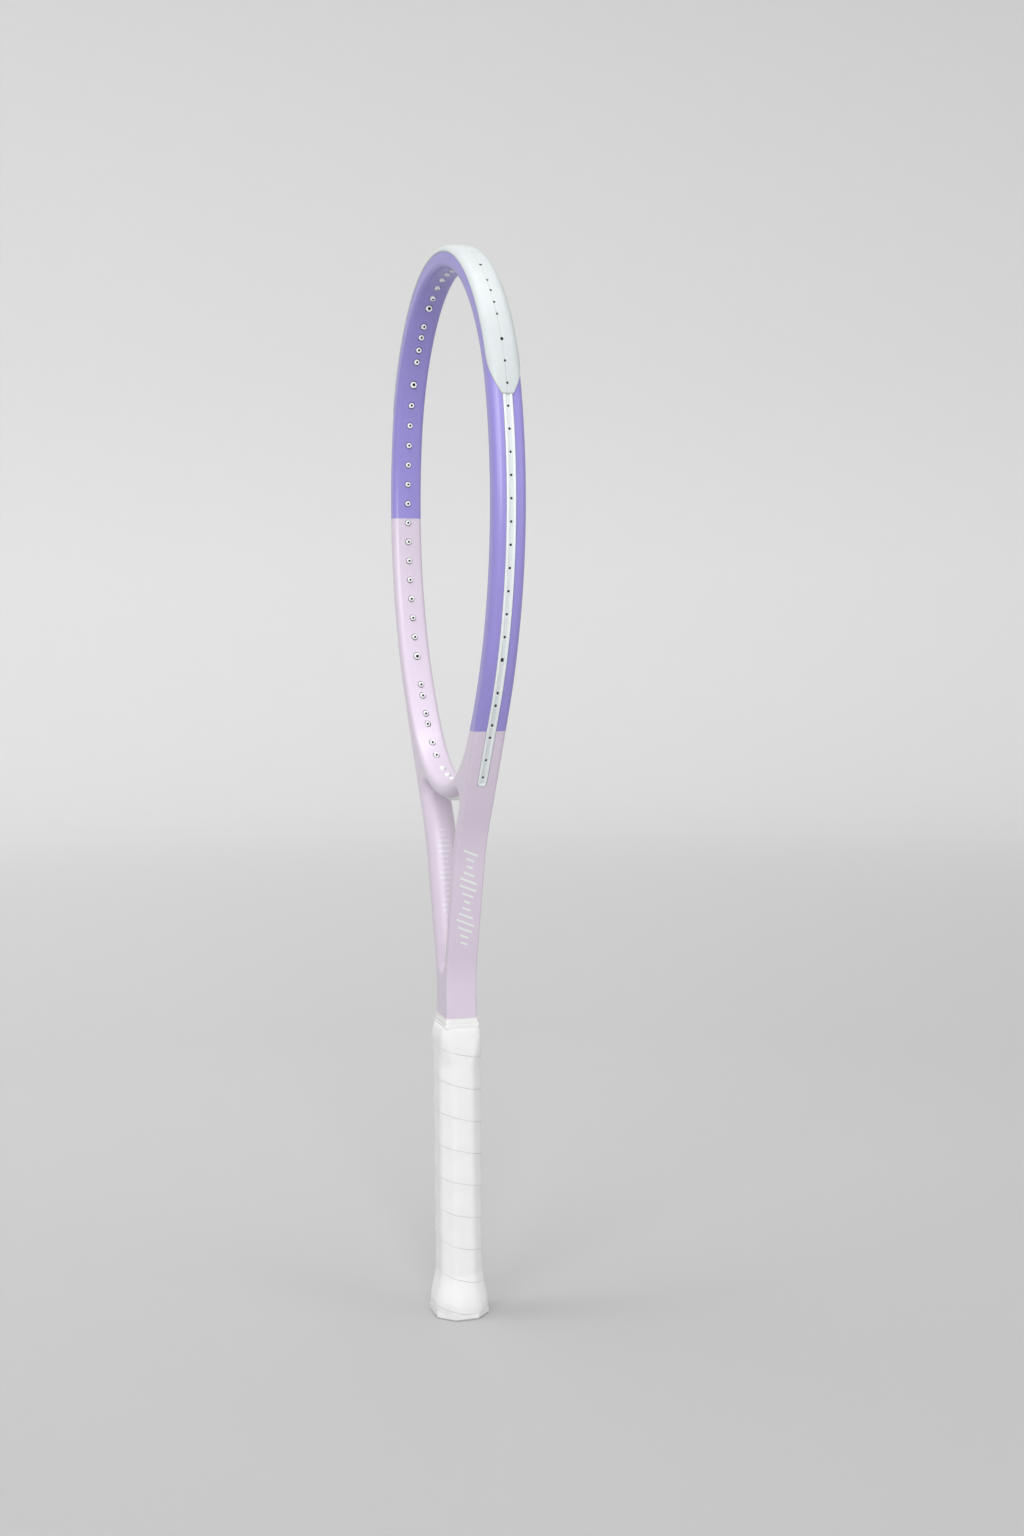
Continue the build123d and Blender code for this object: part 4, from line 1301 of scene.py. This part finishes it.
@dataclass(frozen=True)
class Grip:
    """Ribbon of leather wound up the handle, each turn lapping over the one below.

    Attributes:
        low: Height of its lower end, and high that of its upper one.
        pitch: Rise of a turn.
        first_seam: Height of the lowest seam at the right edge.
        columns: Steps round the handle.
        lap: Height of a lapped edge over the turn below, and sink the hollow beside it.
        body, flare, shoulder: Sections of the shaft, the foot and the top.
        inside: Heights and sections of the sleeve's inner side.
    """
    low: float = 4.0
    high: float = 191.0
    pitch: float = 21.15
    first_seam: float = 25.3
    columns: int = 132
    lap: float = 0.34
    sink: float = 0.16
    body: Octagon = Octagon(31.1, 27.6, 7.4)
    flare: Octagon = Octagon(38.9, 35.4, 9.7)
    shoulder: Octagon = Octagon(29.0, 22.8, 1.4)
    inside: tuple = ((4.0, Octagon(35.6, 32.1, 9.0)), (9.0, Octagon(35.6, 32.1, 9.0)),
                     (28.0, Octagon(29.3, 25.8, 7.2)), (184.4, Octagon(28.7, 25.2, 7.0)),
                     (184.5, Octagon(26.8, 20.4, 0.9)), (191.0, Octagon(26.8, 20.4, 0.9)))
    creases: tuple = (Crease(181.5, 10, 70, -0.8, -0.16), Crease(178.0, -20, 60, -1.6, 0.12),
                      Crease(172.5, 5, 55, -1.2, -0.12), Crease(168.8, 25, 40, -0.6, 0.08),
                      Crease(186.0, 150, 60, 0.8, -0.14), Crease(176.0, 200, 70, -1.0, -0.12),
                      Crease(28.2, 15, 60, -0.5, -0.2), Crease(27.0, 190, 70, 0.4, -0.18),
                      Crease(10.6, 0, 95, -2.4, -0.2), Crease(9.4, 0, 100, -2.4, 0.12),
                      Crease(17.5, 180, 80, 2.0, -0.16), Crease(30.8, -40, 45, 0.8, -0.12))

    def section(self, z: float) -> Octagon:
        """Outside of the winding at this height, without seams."""
        share = 1 - eased(z, 8.5, 31.0)
        shape = self.body.toward(self.flare, share)
        shape = Octagon(shape.x, shape.y, shape.leg - 3.6 * eased(z, 163.0, 184.0))
        over = min(1.0, max(0.0, (z - 182.5) / 8.5))
        shape = shape.toward(self.shoulder, 1 - sqrt(1 - over * over))
        under = min(1.0, max(0.0, (5.0 - z) / 1.0))
        edge = 0.5 * (1 - sqrt(1 - under * under * 0.98))
        return Octagon(shape.x - edge, shape.y - edge, shape.leg)

    @staticmethod
    def wander(angle: float, z: float) -> float:
        """How far the hand-wound seam strays from a true screw here."""
        return 0.35 * sin(2 * angle + 0.7) + 0.25 * sin(3 * angle + z * 0.045)

    def phase(self, angle: float, z: float) -> float:
        """Place across the ribbon, 0 at the lapped edge and 1 at the next one above."""
        screw = z - self.first_seam + self.wander(angle, z) + self.pitch * angle / (2 * pi)
        return (screw / self.pitch) % 1.0

    def relief(self, phase: float) -> float:
        """Lift of the ribbon over the handle: a sharp lapped edge, then a slow fall."""
        rise = phase * self.pitch
        if rise < 0.5:
            return -self.sink + (self.lap + self.sink) * sqrt(1 - (1 - rise / 0.5) ** 2)
        fall = self.lap * (1 - eased(rise, 0.6, self.pitch * 0.8))
        return fall - self.sink * eased(rise, self.pitch - 0.6, self.pitch)

    def _wound(self) -> Mesh:
        """The ribbon as a smooth screw of unit radius, trimmed to the handle's length."""
        rises = [0.0, 0.1, 0.22, 0.36, 0.55, 0.85, 1.3, 2.0, 3.2]
        rises += [3.2 + (self.pitch - 4.4) * i / 12 for i in range(1, 13)]
        rises += [self.pitch - 0.6, self.pitch - 0.25, self.pitch]
        top = self.high + self.pitch * 1.5
        turns = ceil((self.high - self.low) / self.pitch) + 4
        bm = bmesh.new()
        spun(bm, chain(bm, [(1, top + rise) for rise in rises]), self.columns,
             self.pitch / self.columns)
        turn = [*bm.verts, *bm.edges, *bm.faces]
        for index in range(1, turns):
            copied = bmesh.ops.duplicate(bm, geom=turn)["geom"]
            bmesh.ops.translate(bm, vec=(0, 0, -self.pitch * index),
                                verts=[item for item in copied if isinstance(item, Vert)])
        bmesh.ops.remove_doubles(bm, verts=bm.verts[:], dist=0.004)
        shift = (self.first_seam - top) % self.pitch
        for vert in bm.verts:
            vert.co.z += shift - self.wander(atan2(vert.co.y, vert.co.x), vert.co.z)
        for height, side in ((self.low, 1), (self.high, -1)):
            bmesh.ops.bisect_plane(bm, geom=[*bm.verts, *bm.edges, *bm.faces], dist=0.001,
                                   plane_co=(0, 0, height), plane_no=(0, 0, side), clear_inner=True)
        return bm

    def build(self) -> None:
        """Wind the ribbon, give it the handle's section, and close it on the inside."""
        bm = self._wound()
        layer = bm.verts.layers.float.new("seam")
        for vert in bm.verts:
            angle, z = atan2(vert.co.y, vert.co.x), vert.co.z
            phase = (self.phase(angle, z) + 0.0015) % 1.0
            near = min(phase, 1 - phase) * self.pitch
            vert[layer] = max(0.0, 1 - near / 0.42) * 0.75
            fade = 1 - 0.75 * eased(z, 184.0, 190.0)
            uneven = noise.noise(Vector((cos(angle) * 2.2, sin(angle) * 2.2, z / 9))) * 0.11
            lift = self.relief(phase) * fade + uneven
            lift += sum(fold.lift(angle, z) for fold in self.creases)
            reach = self.section(z).radius(angle, 20.0 - 9.0 * (1 - eased(z, 14.0, 32.0))) + lift
            vert.co.x, vert.co.y = reach * cos(angle), reach * sin(angle)
        loops = {height: [e for e in bm.edges if e.is_boundary
                          and all(abs(v.co.z - height) < 0.01 for v in e.verts)]
                 for height in (self.low, self.high)}
        edges = loops[self.low]
        for height, shape in self.inside:
            verts, edges = drawn(bm, edges)
            for vert in verts:
                angle = atan2(vert.co.y, vert.co.x)
                reach = shape.radius(angle, 60.0)
                vert.co = (reach * cos(angle), reach * sin(angle), height)
        bmesh.ops.bridge_loops(bm, edges=edges + loops[self.high])
        piece(bm, "wound_grip", GripLeather().make("grip_leather"), "grip_wrap",
              sharp=48.0)


@dataclass(frozen=True)
class FinishingTape:
    """Two and a bit turns of tape round the grip's top edge and the stem.

    Attributes:
        half_x, half_y: Half sizes of the stem.
        columns: Steps round it.
        square: Exponent of its softened corners.
        steps: Height of each row, and how far it stands off the stem.
    """
    half_x: float = 13.2
    half_y: float = 10.0
    columns: int = 120
    square: float = 22.0
    steps: tuple = ((189.6, 1.0), (189.9, 1.45), (190.4, 1.62), (192.1, 1.58), (192.5, 1.3),
                    (192.6, 1.02), (194.3, 0.98), (194.7, 0.8), (194.8, 0.58), (196.0, 0.55),
                    (196.35, 0.42), (196.5, 0.2), (196.5, 0.03), (193.0, 0.03), (189.6, 0.03))

    def _ring(self, index: int) -> list[tuple[float, float, float]]:
        """One row of the sleeve, tilted a little where a turn's edge lies on the one below."""
        height, grow = self.steps[index]
        x, y, ring = self.half_x + grow, self.half_y + grow, []
        for column in range(self.columns):
            angle = 2 * pi * column / self.columns
            side = (abs(cos(angle)) / x) ** self.square + (abs(sin(angle)) / y) ** self.square
            reach = side ** (-1 / self.square)
            tilt = 0.35 * sin(angle + 0.9 * (index // 3)) * (0 < index < 11)
            ring.append((reach * cos(angle), reach * sin(angle), height + tilt))
        return ring

    def build(self) -> None:
        """Build the tape as a closed, stepped sleeve."""
        bm = bmesh.new()
        Rows(bm, (self._ring(index) for index in range(len(self.steps))), True).join_ends()
        piece(bm, "finishing_tape_turns", Film().make("finishing_film"),
              "finishing_tape", sharp=50.0)


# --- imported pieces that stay

class Kept(Enum):
    """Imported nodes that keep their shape, each with its finish."""
    BUTT_CAP = ("butt_cap", Moulding((0.80, 0.80, 0.80), (0.76, 0.76, 0.765), 0.4,
                                     grain=0.5, relief=0.012))
    DOOR = ("butt_cap_door", Moulding((0.74, 0.74, 0.75), (0.70, 0.70, 0.71), 0.36,
                                      grain=0.5, relief=0.012))
    STAPLES = ("butt_cap_staples", Metal())
    TACK = ("grip_tack", Metal(stretch=(1.0, 1.0, 1.0)))
    WEIGHTS = ("tail_weights", Metal((0.30, 0.31, 0.33), 0.55, 1.4, (1.0, 1.0, 1.0)))
    RIGHT_PALLET = ("pallet_right", Foam())
    LEFT_PALLET = ("pallet_left", Foam())
    CORE = ("bridge_foam_core", Foam((0.74, 0.66, 0.46), (0.62, 0.54, 0.36), 0.6))
    TAPE = ("adhesive_tape", Foam((0.82, 0.80, 0.72), (0.74, 0.72, 0.63), 0.4))

    @staticmethod
    def dress_all(nodes: dict) -> None:
        """Give each kept node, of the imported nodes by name, its finish."""
        for kept in Kept:
            name, finish = kept.value
            material = finish.make(f"{name}_finish")
            for slot in nodes[name].material_slots:
                slot.material = material
            LOG.info("%s: kept, dressed", name)


# --- studio

@dataclass(frozen=True)
class Lamp:
    """A soft rectangular lamp, aimed at a point; lengths here are metres."""
    name: str
    place: tuple[float, float, float]
    aim: tuple[float, float, float]
    width: float
    height: float
    watts: float

    def hang(self) -> None:
        """Make the lamp."""
        data = bpy.data.lights.new(self.name, "AREA")
        data.shape, data.energy = "RECTANGLE", self.watts
        data.size, data.size_y = self.width, self.height
        made = bpy.data.objects.new(self.name, data)
        made.location = self.place
        ray = Vector(self.aim) - Vector(self.place)
        made.rotation_euler = ray.to_track_quat("-Z", "Y").to_euler()
        bpy.context.collection.objects.link(made)


@dataclass(frozen=True)
class Studio:
    """Pale sweep all round, soft lamps and the camera; lengths here are metres.

    Attributes:
        azimuth: Direction the camera stands in; its pitch, yaw and roll are in degrees too.
        world: Strength of the light from all round.
        painted_greys: Greys of the one paper of the sweep near the racket, far off, and on the
            wall; the dark grey near the racket is painted shade against the lamps' light there.
    """
    azimuth: float = 74.773
    distance: float = 1.207467
    height: float = 0.4436
    pitch: float = 4.122
    yaw: float = 1.758
    roll: float = -0.404
    lens: float = 44.141
    floor_radius: float = 3.0
    sweep_radius: float = 1.2
    wall_top: float = 3.4
    world: float = 0.6
    painted_greys: tuple[float, float, float] = (0.485, 0.74, 0.63)
    lamps: tuple = (Lamp("key", (2.15, -0.45, 1.25), (0, 0, 0.45), 0.8, 1.8, 27.0),
                    Lamp("side", (1.8, -1.6, 1.3), (0, 0, 0.4), 1.0, 1.3, 16.0),
                    Lamp("overhead", (0.5, -0.1, 2.4), (0, 0, 0.3), 1.6, 1.6, 2.5),
                    Lamp("fill", (1.6, 1.7, 0.8), (0, 0, 0.3), 1.0, 1.4, 5.0),
                    Lamp("backdrop", (-0.4, -0.5, 2.7), (-4.2, 0.3, 0.9), 2.2, 2.2, 70.0))

    def _backdrop(self) -> None:
        """Spin the sweep: floor, curve and wall."""
        bm = bmesh.new()
        outline = [(0.0, 0.0), (self.floor_radius, 0.0)]
        for i in range(1, 17):
            lean = pi / 2 * i / 16
            outline.append((self.floor_radius + self.sweep_radius * sin(lean),
                            self.sweep_radius * (1 - cos(lean))))
        outline.append((self.floor_radius + self.sweep_radius, self.wall_top))
        spun(bm, chain(bm, outline), 96)
        mend(bm, 0.0001)
        bmesh.ops.reverse_faces(bm, faces=bm.faces[:])
        made = linked(bm, "sweep")
        made.data.shade_smooth()
        graph = Graph("sweep_paper")
        x, y, z = graph.axes(graph.place())
        near, far, high = ((grey, grey, grey) for grey in self.painted_greys)
        # Painted shade: the paper is darker near the racket, where the lamps light the floor most.
        ground = graph.mix((x * x + y * y).ramp(0.8, 9.0), near, far)
        colour = graph.mix(z.ramp(0.6, 2.2), ground, high)
        made.data.materials.append(graph.finish(colour, 0.9, Specular_IOR_Level=0.1))

    def _camera(self) -> None:
        """Stand the camera beside the racket, a little above the throat's height."""
        a, y, p, r = (radians(v) for v in (self.azimuth, self.yaw, self.pitch, self.roll))
        ahead, right = Vector((-sin(a), cos(a), 0)), Vector((cos(a), sin(a), 0))
        up = Vector((0, 0, 1))
        ahead, right = ahead * cos(y) + right * sin(y), right * cos(y) - ahead * sin(y)
        forward, top = ahead * cos(p) - up * sin(p), up * cos(p) + ahead * sin(p)
        right, top = right * cos(r) + top * sin(r), top * cos(r) - right * sin(r)
        data = bpy.data.cameras.new("camera")
        data.sensor_width, data.lens = 36.0, self.lens
        data.clip_start, data.clip_end = 0.05, 50.0
        made = bpy.data.objects.new("camera", data)
        turned = Matrix((right, top, -forward)).transposed().to_4x4()
        place = Vector((sin(a) * self.distance, -cos(a) * self.distance, self.height))
        made.matrix_world = Matrix.Translation(place) @ turned
        bpy.context.collection.objects.link(made)
        bpy.context.scene.camera = made

    def build(self) -> None:
        """Set up backdrop, lamps, world light and camera."""
        self._backdrop()
        for lamp in self.lamps:
            lamp.hang()
        world = bpy.data.worlds.new("studio_air")
        world.use_nodes = True
        sky = world.node_tree.nodes["Background"]
        sky.inputs["Color"].default_value = (1, 1, 1, 1)
        sky.inputs["Strength"].default_value = self.world
        bpy.context.scene.world = world
        bpy.context.scene.view_settings.view_transform = "Standard"
        self._camera()


def main() -> None:
    """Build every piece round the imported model, then the studio."""
    logging.basicConfig(level=logging.INFO, format="%(name)s: %(message)s")
    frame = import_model()
    hoop = Hoop()
    drilling = Drilling(hoop)
    carbon = Frame(hoop, drilling)
    paint = carbon.lacquer.make("frame_lacquer")
    carbon.build_tube(paint)
    carbon.build_bridge(paint)
    Bumper(hoop, drilling).build()
    for side in (1, -1):
        SideStrip(hoop, drilling, side).build()
    ThroatStrip(hoop, drilling).build()
    Grip().build()
    FinishingTape().build()
    Kept.dress_all(frame["nodes"])
    Studio().build()


if __name__ == "__main__":
    main()
